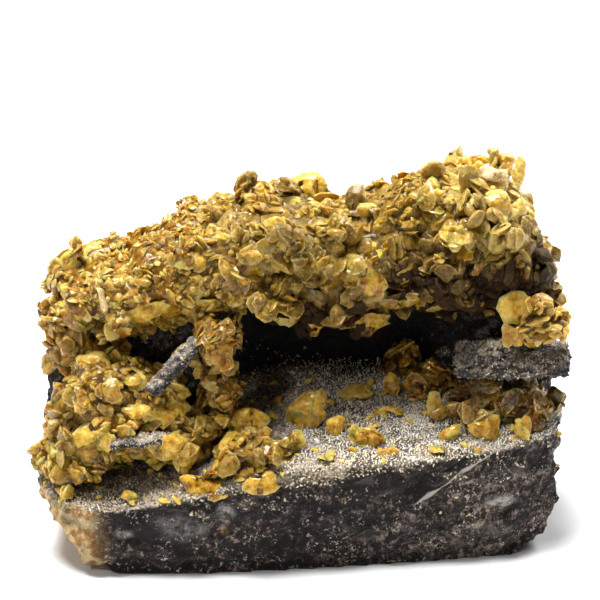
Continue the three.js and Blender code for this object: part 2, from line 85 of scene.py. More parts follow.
LIP_START = -35 * MM  # that end, along X
LIP_RISE = 0.115  # how steeply the edge climbs to the right


# ---------------------------------------------------------------- colours
def srgb(red, green, blue):
    """A colour given in the usual 0 to 255 steps, as Blender's linear colour."""
    steps = np.array([red, green, blue]) / 255
    linear = np.where(steps <= 0.04045, steps / 12.92, ((steps + 0.055) / 1.055) ** 2.4)
    return (*linear.tolist(), 1.0)


# ---------------------------------------------------------------- shader tools
class Socket:
    """A node's output. Python's operators on it add Math nodes to its material."""

    def __init__(self, tree, output):
        self.tree = tree
        self.output = output

    def node(self, kind, settings=None, inputs=None, output=0):
        return add_node(self.tree, kind, settings, inputs, output)

    def maths(self, operation, *values, clamp=False):
        settings = {"operation": operation, "use_clamp": clamp}
        return self.node("ShaderNodeMath", settings, dict(enumerate(values)))

    def __add__(self, other):
        return self.maths("ADD", self, other)

    def __sub__(self, other):
        return self.maths("SUBTRACT", self, other)

    def __mul__(self, other):
        return self.maths("MULTIPLY", self, other)

    def __truediv__(self, other):
        return self.maths("DIVIDE", self, other)

    def __pow__(self, other):
        return self.maths("POWER", self, other)

    def __rsub__(self, other):
        return self.maths("SUBTRACT", other, self)

    __radd__ = __add__
    __rmul__ = __mul__

    def absolute(self):
        return self.maths("ABSOLUTE", self)

    def clamped(self):
        return self.maths("ADD", self, 0.0, clamp=True)

    def step(self, low, high):
        """0 below low, 1 above high, smooth between."""
        settings = {"interpolation_type": "SMOOTHSTEP"}
        return self.node("ShaderNodeMapRange", settings, {"Value": self, "From Min": low, "From Max": high})


def add_node(tree, kind, settings=None, inputs=None, output=0):
    """Adds a shader node: its settings first, then the values or links of its sockets."""
    made = tree.nodes.new(kind)
    for name, value in (settings or {}).items():
        if name == "stops":
            ramp = made.color_ramp.elements
            while len(ramp) < len(value):
                ramp.new(1.0)
            for element, (position, colour) in zip(ramp, value):
                element.position = position
                element.color = colour
        else:
            setattr(made, name, value)
    for name, value in (inputs or {}).items():
        if isinstance(value, Socket):
            tree.links.new(value.output, made.inputs[name])
        else:
            made.inputs[name].default_value = value
    return Socket(tree, made.outputs[output]) if made.outputs else None


class Finish:
    """A material: the patterns that it is made of, and its one surface shader.

    An attribute that a mesh lacks counts as 0."""

    def __init__(self, name):
        self.material = bpy.data.materials.new(name)
        self.material.use_nodes = True
        self.tree = self.material.node_tree
        self.tree.nodes.clear()
        self.place = self.node("ShaderNodeTexCoord", output="Object")

    def node(self, kind, settings=None, inputs=None, output=0):
        return add_node(self.tree, kind, settings, inputs, output)

    def attribute(self, name):
        return self.node("ShaderNodeAttribute", {"attribute_name": name}, output="Fac")

    def noise(self, size, detail=3.0, roughness=0.55, distortion=0.0, place=None):
        """Cloudy noise whose largest clouds are about size across."""
        inputs = {
            "Vector": place or self.place,
            "Scale": 1 / size,
            "Detail": detail,
            "Roughness": roughness,
            "Distortion": distortion,
        }
        return self.node("ShaderNodeTexNoise", None, inputs)

    def ramp(self, value, *stops):
        return self.node("ShaderNodeValToRGB", {"stops": stops}, {"Fac": value})

    def mix(self, part, first, second, blend="MIX"):
        """Two colours mixed: first where part is 0, second where it is 1."""
        settings = {"data_type": "RGBA", "blend_type": blend}
        factor, one, two, result = 0, 6, 7, 2  # the places of the Mix node's colour sockets
        return self.node("ShaderNodeMix", settings, {factor: part, one: first, two: second}, result)

    def axes(self):
        split = self.node("ShaderNodeSeparateXYZ", None, {"Vector": self.place})
        outputs = split.output.node.outputs
        return [Socket(self.tree, outputs[axis]) for axis in range(3)]

    def stretched(self, scale, turn=(0, 0, 0)):
        return self.node("ShaderNodeMapping", None, {"Vector": self.place, "Rotation": turn, "Scale": scale})

    def facets(self, size):
        """The height, in metres, of small flat faces about size across, each tilted its own way."""
        cell = self.node("ShaderNodeTexVoronoi", None, {"Vector": self.place, "Scale": 1 / size}, "Position")
        colour = Socket(self.tree, cell.output.node.outputs["Color"])
        aside = self.node("ShaderNodeVectorMath", {"operation": "SUBTRACT"}, {0: self.place, 1: cell})
        tilt = self.node("ShaderNodeVectorMath", {"operation": "SUBTRACT"}, {0: colour, 1: (0.5, 0.5, 0.5)})
        return self.node("ShaderNodeVectorMath", {"operation": "DOT_PRODUCT"}, {0: aside, 1: tilt}, "Value")

    def bump(self, height, distance, strength=1.0):
        inputs = {"Height": height, "Distance": distance, "Strength": strength}
        return self.node("ShaderNodeBump", None, inputs)

    def surface(self, **inputs):
        named = {name.replace("_", " "): value for name, value in inputs.items()}
        shader = self.node("ShaderNodeBsdfPrincipled", None, named)
        self.node("ShaderNodeOutputMaterial", None, {"Surface": shader})
        return self.material


# ---------------------------------------------------------------- mesh tools
def piece(name, mesh, material, slot, *nodes):
    """A finished piece: it rides on the one body and stands for those CAD nodes."""
    made = bpy.data.objects.new(name, mesh)
    bpy.context.scene.collection.objects.link(made)
    mesh.materials.clear()
    mesh.materials.append(material)
    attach(made, "root")
    if nodes:
        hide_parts(*nodes)


def merged(*nodes):
    """A new mesh of those CAD nodes, its triangles joined up."""
    shape = bmesh.new()
    for name in nodes:
        shape.from_mesh(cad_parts[name].data)
    bmesh.ops.remove_doubles(shape, verts=shape.verts, dist=0.001 * MM)
    mesh = bpy.data.meshes.new("merged")
    shape.to_mesh(mesh)
    shape.free()
    return mesh


def remeshed(mesh, voxel, smoothing=0):
    """The mesh made again from even faces of about voxel size, as one closed skin."""
    carrier = bpy.data.objects.new("carrier", mesh)
    bpy.context.scene.collection.objects.link(carrier)
    remesh = carrier.modifiers.new("even", "REMESH")
    remesh.mode = "VOXEL"
    remesh.voxel_size = voxel
    if smoothing:
        smooth = carrier.modifiers.new("soft", "SMOOTH")
        smooth.iterations = smoothing
    graph = bpy.context.evaluated_depsgraph_get()
    made = bpy.data.meshes.new_from_object(carrier.evaluated_get(graph))
    bpy.data.objects.remove(carrier)
    return made


def read(mesh):
    """A mesh's vertices and their normals."""
    count = len(mesh.vertices)
    places = np.empty(count * 3, np.float32)
    mesh.vertices.foreach_get("co", places)
    normals = np.empty(count * 3, np.float32)
    mesh.vertices.foreach_get("normal", normals)
    return places.reshape(-1, 3).astype(float), normals.reshape(-1, 3).astype(float)


def moved(mesh, places):
    mesh.vertices.foreach_set("co", places.astype(np.float32).ravel())
    mesh.update()


def unit(ways):
    return ways / np.linalg.norm(ways, axis=1, keepdims=True)


def level(ways, normals):
    """The ways, with what points out of the skin taken off."""
    return ways - normals * (ways * normals).sum(axis=1, keepdims=True)


def clipped(values):
    return np.clip(values, 0, 1)


def give(mesh, name, values):
    """Stores one number for each vertex."""
    mesh.attributes.new(name, "FLOAT", "POINT").data.foreach_set("value", np.asarray(values, np.float32))


NEIGHBOURS = list(itertools.product((-1, 0, 1), repeat=3))


class Skin:
    """A mesh that crystals grow on: its triangles, for choosing places, and a tree, for finding them."""

    def __init__(self, mesh):
        mesh.calc_loop_triangles()
        self.places, self.normals = read(mesh)
        corners = np.empty(len(mesh.loop_triangles) * 3, np.int32)
        mesh.loop_triangles.foreach_get("vertices", corners)
        self.corners = corners.reshape(-1, 3)
        a, b, c = (self.places[self.corners[:, i]] for i in range(3))
        self.areas = np.linalg.norm(np.cross(b - a, c - a), axis=1) / 2
        self.tree = BVHTree.FromPolygons(self.places.tolist(), self.corners.tolist())

    def candidates(self, count, draw):
        """Random places on the skin, and the normals there."""
        chosen = draw.choice(len(self.areas), count, p=self.areas / self.areas.sum())
        u, v = draw.random(count), draw.random(count)
        over = u + v > 1
        u[over], v[over] = 1 - u[over], 1 - v[over]
        weights = np.stack([1 - u - v, u, v], axis=1)[:, :, None]
        corners = self.corners[chosen]
        places = (self.places[corners] * weights).sum(axis=1)
        normals = (self.normals[corners] * weights).sum(axis=1)
        return places, unit(normals)

    def spread(self, spacing, draw, chance=None, tries=7):
        """Places no nearer to each other than spacing, thinned out by chance(places, normals)."""
        count = int(self.areas.sum() / spacing**2 * tries)
        places, normals = self.candidates(count, draw)
        if chance:
            kept = draw.random(count) < chance(places, normals)
            places, normals = places[kept], normals[kept]
        taken = {}
        chosen = []
        for index, place in enumerate(places):
            cell = tuple((place // spacing).astype(int))
            near = (
                other
                for dx, dy, dz in NEIGHBOURS
                for other in taken.get((cell[0] + dx, cell[1] + dy, cell[2] + dz), ())
            )
            if all(((place - places[other]) ** 2).sum() > spacing**2 for other in near):
                taken.setdefault(cell, []).append(index)
                chosen.append(index)
        return places[chosen], normals[chosen]

    def passing(self, start, ahead):
        """Where a ray that misses the skin comes nearest to it, when that is near enough to touch."""
        steps = [start + ahead * reach for reach in ALONG_RAY]
        found = [self.tree.find_nearest(step)[3] for step in steps]
        nearest = int(np.argmin(found))
        return steps[nearest] if found[nearest] < PASSING else None


# ---------------------------------------------------------------- shapes that are copied
def shape_of(form, rim):
    """A bmesh's arrays, to copy it many times, and how near each vertex is to the crystal's rim."""
    form.verts.index_update()
    faces = [[vert.index for vert in face.verts] for face in form.faces]
    shape = {
        "places": np.array([vert.co for vert in form.verts]),
        "rim": np.array([rim(vert) for vert in form.verts]),
        "faces": np.concatenate(faces),
        "sizes": np.array([len(face) for face in faces]),
    }
    form.free()
    return shape


def lens(sides, rings, seed, dome=0.3, wave=0.08, bend=0.0, oval=0.0, shield=0.0, corners=0.0, ridge=0.0):
    """A lens-shaped crystal of radius 1, flat along Z: a squashed ball with a sharp, uneven rim.

    Its faces bend up along three ridges, as siderite's curved rhombohedra do."""
    draw = np.random.default_rng(seed)
    chips = 0.2 * draw.random(sides) ** 2
    form = bmesh.new()
    bmesh.ops.create_uvsphere(form, u_segments=sides, v_segments=rings, radius=1)
    distance = {}
    for vert in form.verts:
        flat = min(math.hypot(vert.co.x, vert.co.y), 1)
        angle = math.atan2(vert.co.y, vert.co.x)
        side = round(angle / math.tau * sides) % sides
        hexagon = corners * (1 - abs(math.cos(3 * angle)))
        outline = 1 + oval * math.cos(2 * angle) + shield * math.cos(3 * angle + seed) - hexagon
        reach = flat * outline * (1 - chips[side] * flat)
        above = 0 if flat > RIM else math.copysign(1, vert.co.z)
        fold = 1 + ridge * 3 * flat * abs(math.cos(1.5 * angle + above)) - hexagon
        height = above * dome * (1 - flat**2) * fold
        lift = wave * flat**2 * math.cos(3 * angle) + bend * ((flat * math.cos(angle)) ** 2 - 0.3)
        vert.co = (reach * math.cos(angle), reach * math.sin(angle), height + lift)
        distance[vert] = flat
    return shape_of(form, lambda vert: distance[vert])


def grain(sides, seed):
    """A tiny quartz crystal: a pointed pyramid that leans a little."""
    draw = np.random.default_rng(seed)
    form = bmesh.new()
    bmesh.ops.create_cone(form, cap_ends=True, segments=sides, radius1=0.5, radius2=0, depth=1.3)
    for vert in form.verts:
        shove = draw.normal(0, 0.09, 3)
        vert.co += Vector(shove)
    bmesh.ops.recalc_face_normals(form, faces=form.faces)
    return shape_of(form, lambda vert: 1.0 if vert.co.z > 0 else 0.0)


def rippled(places):
    """Places pushed about by slow waves, so that no two copies of a crystal stay alike."""
    draw = np.random.default_rng(77)
    shift = np.zeros_like(places)
    for length in RIPPLES:
        way, push = draw.normal(size=(2, 3))
        phase = places @ (way / np.linalg.norm(way)) * math.tau / length + draw.random() * math.tau
        shift += np.sin(phase)[:, None] * push / np.linalg.norm(push) * (RIPPLE_HEIGHT * length)
    return places + shift


def joined(name, shapes, copies):
    """One mesh of many copies. The copies' arrays: shape, turn (3 by 3, scaled), place, and numbers.

    Copies with a root and an up also get a number that says how deep each vertex is buried."""
    places, faces, sizes, rims, buried = [], [], [], [], []
    numbers = {key: [] for key in copies if key not in ("shape", "turn", "place", "root", "up")}
    offset = 0
    for index, shape in enumerate(shapes):
        chosen = np.flatnonzero(copies["shape"] == index)
        if not len(chosen):
            continue
        count = len(shape["places"])
        spots = np.einsum("nij,vj->nvi", copies["turn"][chosen], shape["places"])
        spots += copies["place"][chosen][:, None, :]
        if "root" in copies:
            above = np.einsum("nvi,ni->nv", spots - copies["root"][chosen][:, None, :], copies["up"][chosen])
            buried.append(clipped(1 - above / BURIAL).ravel())
            beyond = np.maximum(above - PROUD, 0) * PRESSED
            spots -= beyond[:, :, None] * copies["up"][chosen][:, None, :]
        places.append(spots.reshape(-1, 3))
        starts = offset + np.arange(len(chosen)) * count
        faces.append((starts[:, None] + shape["faces"][None, :]).ravel())
        sizes.append(np.tile(shape["sizes"], len(chosen)))
        rims.append(np.tile(shape["rim"], len(chosen)))
        for key, values in numbers.items():
            values.append(np.repeat(copies[key][chosen], count))
        offset += len(chosen) * count
    places, faces, sizes = np.concatenate(places), np.concatenate(faces), np.concatenate(sizes)
    mesh = bpy.data.meshes.new(name)
    mesh.vertices.add(len(places))
    mesh.vertices.foreach_set("co", places.astype(np.float32).ravel())
    mesh.loops.add(len(faces))
    mesh.polygons.add(len(sizes))
    mesh.polygons.foreach_set("loop_start", np.concatenate([[0], np.cumsum(sizes)[:-1]]).astype(np.int32))
    mesh.polygons.foreach_set("vertices", faces.astype(np.int32))
    mesh.update(calc_edges=True)
    give(mesh, "rim", np.concatenate(rims))
    if buried:
        give(mesh, "buried", np.concatenate(buried))
    for key, values in numbers.items():
        give(mesh, key, np.concatenate(values))
    return mesh


def turns(axes, spins, sizes):
    """Matrices that point Z along the axes, turned by spins and scaled by sizes (n by 3)."""
    helper = np.where(np.abs(axes[:, :1]) < 0.8, [[1.0, 0, 0]], [[0, 1.0, 0]])
    right = unit(np.cross(helper, axes))
    ahead = np.cross(axes, right)
    cos, sin = np.cos(spins)[:, None], np.sin(spins)[:, None]
    columns = np.stack([right * cos + ahead * sin, ahead * cos - right * sin, axes], axis=2)
    return columns * sizes[:, None, :]


# ---------------------------------------------------------------- camera, light and floor
def to_camera(elevation):
    return Vector((0, -math.cos(elevation), math.sin(elevation)))


def make_camera():
    data = bpy.data.cameras.new("camera")
    data.sensor_width = SENSOR
    data.lens = SENSOR * CAMERA_DISTANCE / VIEW_WIDTH
    data.clip_start = 10 * MM
    data.clip_end = 10
    camera = bpy.data.objects.new("camera", data)
    back = to_camera(CAMERA_ELEVATION)
    camera.location = CAMERA_TARGET + back * CAMERA_DISTANCE
    camera.rotation_euler = (-back).to_track_quat("-Z", "Y").to_euler()
    bpy.context.scene.collection.objects.link(camera)
    bpy.context.scene.camera = camera


def ray_through(x, y):
    """Where the camera stands, and which way it looks through that pixel of its view."""
    back = to_camera(CAMERA_ELEVATION)
    right = Vector((1, 0, 0))
    up = back.cross(right)
    aside = right * (x / VIEW_PIXELS - 0.5) + up * (0.5 - y / VIEW_PIXELS)
    start = CAMERA_TARGET + back * CAMERA_DISTANCE
    return start, (CAMERA_TARGET + aside * VIEW_WIDTH - start).normalized()


SOFTBOXES = {  # place and the point that it faces, in metres, diameter, watts
    "softbox_top": ((-0.1, 0.05, 0.7), (0, 0, 0.03), 0.34, 11.2),
    "softbox_back": ((0.35, 0.4, 0.4), (0, 0, 0.04), 0.3, 3.0),
    "softbox_front": ((-0.42, -0.5, 0.62), (0, 0, 0.03), 0.16, 1.5),
}
GLOW = 0.09  # the strength of the white surroundings
FLOOR_RADIUS = 4


def make_softbox(name, place, target, size, power):
    data = bpy.data.lights.new(name, "AREA")
    data.shape = "DISK"
    data.size = size
    data.energy = power
    light = bpy.data.objects.new(name, data)
    light.location = place
    light.rotation_euler = (Vector(target) - Vector(place)).to_track_quat("-Z", "Y").to_euler()
    bpy.context.scene.collection.objects.link(light)


def make_surroundings():
    world = bpy.data.worlds.new("studio")
    world.use_nodes = True
    background = world.node_tree.nodes["Background"]
    background.inputs["Color"].default_value = (1, 1, 1, 1)
    background.inputs["Strength"].default_value = GLOW
    bpy.context.scene.world = world
    bpy.context.scene.view_settings.view_transform = "Standard"


def paper_finish():
    paper = Finish("white_paper")
    fibres = paper.noise(3 * MM, detail=2)
    shade = paper.mix(fibres, (0.9, 0.9, 0.9, 1), (0.93, 0.93, 0.93, 1))
    return paper.surface(Base_Color=shade, Roughness=0.9)


def make_floor():
    form = bmesh.new()
    bmesh.ops.create_circle(form, cap_ends=True, segments=96, radius=FLOOR_RADIUS)
    mesh = bpy.data.meshes.new("floor")
    form.to_mesh(mesh)
    form.free()
    mesh.materials.append(paper_finish())
    floor = bpy.data.objects.new("floor", mesh)
    bpy.context.scene.collection.objects.link(floor)


make_camera()
for name, settings in SOFTBOXES.items():
    make_softbox(name, *settings)
make_surroundings()
make_floor()


# ---------------------------------------------------------------- finishes
VEIN_START = (16.6 * MM, 9.5 * MM)  # along X and up, on the front face
VEIN_END = (29.6 * MM, 18.2 * MM)
VEIN_SWELLINGS = ((2.0, 1.7, 0.42), (8.3, 2.2, 0.2))  # how far along, reach and extra width, in millimetres
FRONT_FACE = (12, 15)  # millimetres forward of the middle between which the front face's colours set in
ROCK_GRAIN = math.radians(-32)  # the front face's streaks rise to the right

FRONT_SPOTS = {  # middle along X and up and half sizes, in millimetres, then colour
    "smooth_grey_patch": ((-16.4, 7.8), (4.0, 2.3), srgb(134, 128, 126)),
    "upper_grey_patch": ((-10.4, 9.8), (1.2, 1.3), srgb(190, 184, 178)),
    "white_streak": ((-24.9, 6.4), (1.4, 0.6), srgb(190, 184, 178)),
    "white_blotch": ((28.6, 9.2), (2.4, 1.1), srgb(205, 198, 188)),
    "lower_grey_patch": ((27.5, 4.6), (3.0, 1.2), srgb(118, 112, 108)),
    "pink_spot": ((-10.2, 8.2), (0.55, 0.6), srgb(206, 172, 168)),
    "ochre_spot": ((-10.7, 6.7), (0.6, 0.8), srgb(206, 160, 98)),
    "small_ochre_spot": ((5.9, 11.0), (0.45, 0.4), srgb(150, 118, 40)),
}


def front_spot(rock, middle, reach, ragged):
    """1 inside an uneven oval on the rock's front face, 0 outside it."""
    x, y, z = rock.axes()
    across = (x / MM - middle[0]) / reach[0]
    upward = (z / MM - middle[1]) / reach[1]
    distance = (across * across + upward * upward) ** 0.5 + (ragged - 0.5) * 2.6
    return (1 - distance.step(0.5, 1.25)) * (0 - y / MM).step(*FRONT_FACE)


def quartz_vein(rock, wobble):
    """The thin bright vein across the front face, and the coarse rock below it."""
    x, y, z = rock.axes()
    run = Vector((VEIN_END[0] - VEIN_START[0], VEIN_END[1] - VEIN_START[1]))
    length = run.length
    run.normalize()
    along = (x - VEIN_START[0]) * run.x + (z - VEIN_START[1]) * run.y
    off = (z - VEIN_START[1]) * run.x - (x - VEIN_START[0]) * run.y + (wobble - 0.5) * (1.2 * MM)
    broken = rock.noise(1.6 * MM, detail=3).step(0.3, 0.55)
    width = 0.04 * MM + broken * (0.08 * MM)
    for swollen, reach, extra in VEIN_SWELLINGS:
        aside = (along - swollen * MM).absolute()
        width = width + (1 - aside.step(0, reach * MM)) * (extra * MM)
    inside = along.step(-1 * MM, 0.5 * MM) * (1 - along.step(length - 1 * MM, length))
    vein = (1 - (off.absolute() / width).step(0.4, 1.3)) * inside * (0 - y / MM).step(*FRONT_FACE)
    coarse = (0 - off).step(-0.5 * MM, 1 * MM) * x.step(6 * MM, 12 * MM)
    return vein, coarse


def druse_colour(rock):
    """Salt-and-pepper quartz druse, from dark blue-grey to white."""
    grit = rock.noise(0.5 * MM, detail=3, roughness=0.8)
    patches = rock.noise(5 * MM, detail=3)
    return rock.ramp(
        grit * 0.65 + patches * 0.35,
        (0.38, srgb(44, 40, 41)),
        (0.49, srgb(116, 109, 105)),
        (0.6, srgb(200, 190, 174)),
    )


def rock_finish():
    rock = Finish("dark_veined_rock")
    streaks = rock.stretched((1, 1, 2.4), (0, ROCK_GRAIN, 0))
    cloud = rock.noise(6 * MM, detail=6, roughness=0.62, place=streaks)
    fine = rock.noise(1.1 * MM, detail=6, roughness=0.8)
    ragged = rock.noise(2.2 * MM, detail=4, roughness=0.65)
    vein, coarse = quartz_vein(rock, rock.noise(5 * MM, detail=2))
    base = rock.ramp(
        cloud * 0.3 + fine * 0.7 + coarse * 0.03,
        (0.43, srgb(4, 3, 2)),
        (0.5, srgb(18, 12, 10)),
        (0.56, srgb(47, 36, 32)),
        (0.64, srgb(166, 147, 132)),
    )
    milky = rock.noise(4.5 * MM, detail=5, roughness=0.6, distortion=0.8, place=streaks).step(0.56, 0.68)
    base = rock.mix(milky * 0.4, base, srgb(112, 100, 94))
    specks = rock.noise(0.6 * MM, detail=2, roughness=0.8).step(0.56, 0.66)
    chance = rock.noise(3.2 * MM, detail=4, roughness=0.7).step(0.48, 0.59)
    base = rock.mix((specks * (chance + coarse * 0.15)).clamped() * 0.95, base, srgb(206, 191, 176))
    crumbs = rock.noise(1.3 * MM, detail=5, roughness=0.75, distortion=0.5).step(0.56, 0.66) * coarse
    base = rock.mix(crumbs * 0.6, base, srgb(150, 133, 118))
    clumps = rock.noise(1.1 * MM, detail=6, roughness=0.8).step(0.4, 0.62)
    for middle, reach, colour in FRONT_SPOTS.values():
        part = front_spot(rock, middle, reach, ragged) * (0.1 + clumps)
        base = rock.mix(part.clamped() * 0.75, base, colour)
    base = rock.mix(vein * 0.85, base, srgb(206, 196, 182))
    rust = rock.mix(ragged.step(0.4, 0.6), srgb(182, 126, 60), srgb(252, 222, 164))
    base = rock.mix(rock.attribute("stain"), base, rust)
    cream = rock.mix(fine.step(0.42, 0.6), srgb(128, 108, 78), srgb(232, 222, 198))
    base = rock.mix(rock.attribute("lip"), base, cream)
    base = rock.mix(rock.attribute("druse"), base, druse_colour(rock))
    # Painted shade in the hollow, from the number depth.
    base = rock.mix(rock.attribute("depth"), base, srgb(6, 4, 3))
    height = rock.noise(2.4 * MM, detail=8, roughness=0.75) + fine * 0.25
    rough = (0.72 - milky * 0.25 - vein * 0.3).clamped()
    return rock.surface(
        Base_Color=base, Roughness=rough, Specular_IOR_Level=0.35, Normal=rock.bump(height, 1.1 * MM)
    )


def stone_finish():
    """The loose stones: dark slate with fine pale grains, and druse where its number says so."""
    stone = Finish("dark_druse_stone")
    fine = stone.noise(0.45 * MM, detail=4, roughness=0.75)
    cloud = stone.noise(2.5 * MM, detail=4, roughness=0.6)
    base = stone.ramp(
        fine * 0.7 + cloud * 0.3,
        (0.42, srgb(14, 12, 11)),
        (0.52, srgb(38, 35, 34)),
        (0.62, srgb(120, 115, 110)),
    )
    base = stone.mix(stone.attribute("druse"), base, druse_colour(stone))
    return stone.surface(
        Base_Color=base, Roughness=0.55, Specular_IOR_Level=0.35, Normal=stone.bump(fine, 0.35 * MM)
    )


def siderite_finish(name, root_colour, deep, body, light, shine=0.22, clear=0.15, facet=0.5 * MM, relief=0.9):
    """Waxy, translucent siderite: deep cores, a honey-coloured body and pale, thin rims, with a painted
    highlight along the rims and painted shade where the number deep says so.
    """
    crystal = Finish(name)
    rim = crystal.attribute("rim")
    cloud = crystal.noise(1.3 * MM, detail=6, roughness=0.65)
    fine = crystal.noise(0.4 * MM, detail=4, roughness=0.75)
    depth = (crystal.attribute("tone") * 0.7 + (cloud - 0.5) * 3.0 + rim * 0.15).clamped()
    inner = crystal.ramp(depth, (0.0, srgb(*deep)), (0.45, srgb(*body)), (1.0, srgb(*light)))
    # Each crystal turns toward its root colour where it is buried in the skin, darker toward its root.
    inner = crystal.mix(crystal.attribute("buried") * 0.55, inner, srgb(*root_colour))
    inner = crystal.mix(crystal.attribute("olive") * 0.6, inner, srgb(150, 130, 56))
    paleness = (rim.step(0.65, 1.0) * 0.2 + crystal.attribute("pale") * 0.7 + (fine - 0.53) * 1.1).clamped()
    colour = crystal.mix(paleness, inner, srgb(246, 218, 132))
    # Painted highlight: a broken pale line along the very rim.
    colour = crystal.mix(rim.step(0.9, 1.0) * fine.step(0.42, 0.62) * 0.6, colour, srgb(255, 242, 196))
    # Painted shade: where the number deep is high, the colour is darkened and the gloss and coat are taken
    # off.
    painted_shade = crystal.attribute("deep")
    colour = crystal.mix(painted_shade, colour, srgb(66, 42, 16), "MULTIPLY")
    growth = crystal.noise(0.7 * MM, detail=6, roughness=0.7, distortion=0.6)
    height = crystal.facets(facet) * relief + growth * (0.2 * MM)
    return crystal.surface(
        Base_Color=colour,
        Roughness=shine + painted_shade * 0.5,
        IOR=1.6,
        Specular_IOR_Level=0.25,
        Specular_Tint=(1.0, 0.84, 0.55, 1),
        Coat_Weight=0.35 - painted_shade * 0.35,
        Coat_Roughness=0.06,
        Coat_Tint=(1.0, 0.9, 0.66, 1),
        Subsurface_Weight=0.85,
        Subsurface_Radius=(1.0, 0.55, 0.12),
        Subsurface_Scale=0.9 * MM,
        Transmission_Weight=clear,
        Normal=crystal.bump(height, distance=1.0),
    )


def quartz_finish():
    quartz = Finish("quartz_grains")
    tone = quartz.attribute("tone")
    cold = quartz.ramp(
        tone,
        (0.0, srgb(48, 44, 47)),
        (0.4, srgb(120, 112, 109)),
        (0.7, srgb(198, 189, 178)),
        (1.0, srgb(252, 247, 236)),
    )
    warm = quartz.ramp(
        tone,
        (0.0, srgb(116, 90, 54)),
        (0.4, srgb(194, 168, 122)),
        (1.0, srgb(250, 232, 196)),
    )
    colour = quartz.mix(quartz.attribute("warm"), cold, warm)
    return quartz.surface(Base_Color=colour, Roughness=0.15, IOR=1.54, Transmission_Weight=0.2)


def milky_finish():
    milk = Finish("milky_quartz")
    veins = milk.noise(1.2 * MM, detail=5, roughness=0.7, distortion=1.0)
    fine = milk.noise(0.3 * MM, detail=3, roughness=0.7)
    colour = milk.ramp(
        veins * 0.7 + fine * 0.3,
        (0.4, srgb(156, 116, 62)),
        (0.48, srgb(208, 176, 112)),
        (0.58, srgb(240, 220, 168)),
    )
    return milk.surface(
        Base_Color=colour,
        Roughness=0.3,
        IOR=1.54,
        Subsurface_Weight=0.3,
        Subsurface_Radius=(1, 1, 1),
        Subsurface_Scale=0.5 * MM,
        Normal=milk.bump(fine, 0.2 * MM, 0.8),
    )


ROCK = rock_finish()
STONE = stone_finish()
QUARTZ = quartz_finish()
MILKY = milky_finish()
ROOT_BROWN = (70, 44, 8)
SIDERITE_COLOURS = {  # the colour at the roots, then the crystal's deep, middle and light colours
    "honey_siderite": (ROOT_BROWN, (138, 88, 8), (214, 168, 44), (250, 220, 112)),
    "amber_siderite": (ROOT_BROWN, (120, 68, 4), (196, 136, 24), (236, 192, 76)),
    "gold_siderite": ((140, 88, 12), (178, 118, 16), (234, 188, 66), (252, 226, 134)),
    "loose_honey": ((96, 62, 8), (136, 88, 8), (200, 152, 40), (236, 200, 98)),
    "rust_siderite": ((22, 9, 2), (48, 20, 3), (108, 55, 10), (182, 118, 40)),
}
MASS_COLOURS = (ROOT_BROWN, (66, 40, 5), (140, 96, 16), (204, 156, 50))
SIDERITE = {name: siderite_finish(name, *colours) for name, colours in SIDERITE_COLOURS.items()}
MASS = siderite_finish("siderite_mass", *MASS_COLOURS, shine=0.3, clear=0.0, facet=1.1 * MM, relief=1.5)


# ---------------------------------------------------------------- the rock
def smooth_step(low, high, values):
    part = clipped((values - low) / (high - low))
    return part * part * (3 - 2 * part)


def within(values, *edges):
    """1 inside all the edges and 0 outside them. Each edge says where it is 0 and where it is 1."""
    part = 1.0
    for outside, inside in edges:
        part = part * smooth_step(outside, inside, values)
    return part


def noise_at(places, size):
    return np.array([noise.noise(Vector(place) / size) for place in places])


def rock_relief(place, normal):
    """How far the broken rock stands proud at a place, in metres."""
    point = Vector(place) / MM
    flat_top = max(0.0, normal[2])
    tilted = Vector((point.x, point.y, point.z - BEDS_RISE * point.x))
    blocks = noise.voronoi(tilted * BLOCKS, distance_metric="DISTANCE", exponent=2.5)[0]
    steps = (blocks[1] - blocks[0]) * 1.2
    ridges = noise.ridged_multi_fractal(tilted * RIDGES, 0.9, 2.1, 4, 0.9, 1.6) * 0.45
    rough = noise.fractal(point * GRIT, 0.8, 2.1, 4) * 0.6
    return (steps * 1.05 + ridges * 1.2 - 1.3) * (1 - 0.85 * flat_top) * MM + rough * 0.6 * MM


def above_edge(places):
    """How far each place is above the plateau's front edge, in metres."""
    return places[:, 2] - (LIP_HEIGHT + (places[:, 0] - LIP_START) * LIP_RISE)


def make_rock():
    mesh = remeshed(merged("matrix_rock"), ROCK_VOXEL)
    places, normals = read(mesh)
    relief = np.array([rock_relief(place, normal) for place, normal in zip(places, normals)])
    relief[places[:, 2] < 0.4 * MM] = 0
    shifted = places + normals * relief[:, None]
    shifted[:, 2] = np.maximum(shifted[:, 2], 0)
    moved(mesh, shifted)
    mesh.shade_smooth()
    places, normals = read(mesh)
    x, y, z = places.T
    give(mesh, "druse", smooth_step(0.3, 0.65, normals[:, 2]) * smooth_step(7 * MM, 9 * MM, z))
    uneven = noise_at(places, 5 * MM)
    left_end = smooth_step(-26 * MM, -31 * MM, x) * smooth_step(13 * MM, 9.5 * MM, z - uneven * 7 * MM)
    left_end *= smooth_step(12 * MM, -2 * MM, y + uneven * 8 * MM)
    give(mesh, "stain", clipped(left_end * (0.9 + 1.2 * noise_at(places, 3 * MM))) * 0.9)
    lip = smooth_step(-14 * MM, -17 * MM, y) * smooth_step(-1.6 * MM, 0.2 * MM, above_edge(places))
    lip *= 0.55 + 1.1 * noise_at(places, 2.2 * MM)
    give(mesh, "lip", clipped(lip) * 0.9)
    # Painted shade: the rock in the hollow is darkened nearly to black.
    hollow = smooth_step(0, 6 * MM, y) * smooth_step(15 * MM, 19 * MM, z)
    hollow *= smooth_step(0.55, 0.0, normals[:, 1]) * smooth_step(38 * MM, 34 * MM, z)
    give(mesh, "depth", hollow * 0.97)
    piece("rock", mesh, ROCK, "rock", "matrix_rock")
    return mesh


rock_mesh = make_rock()

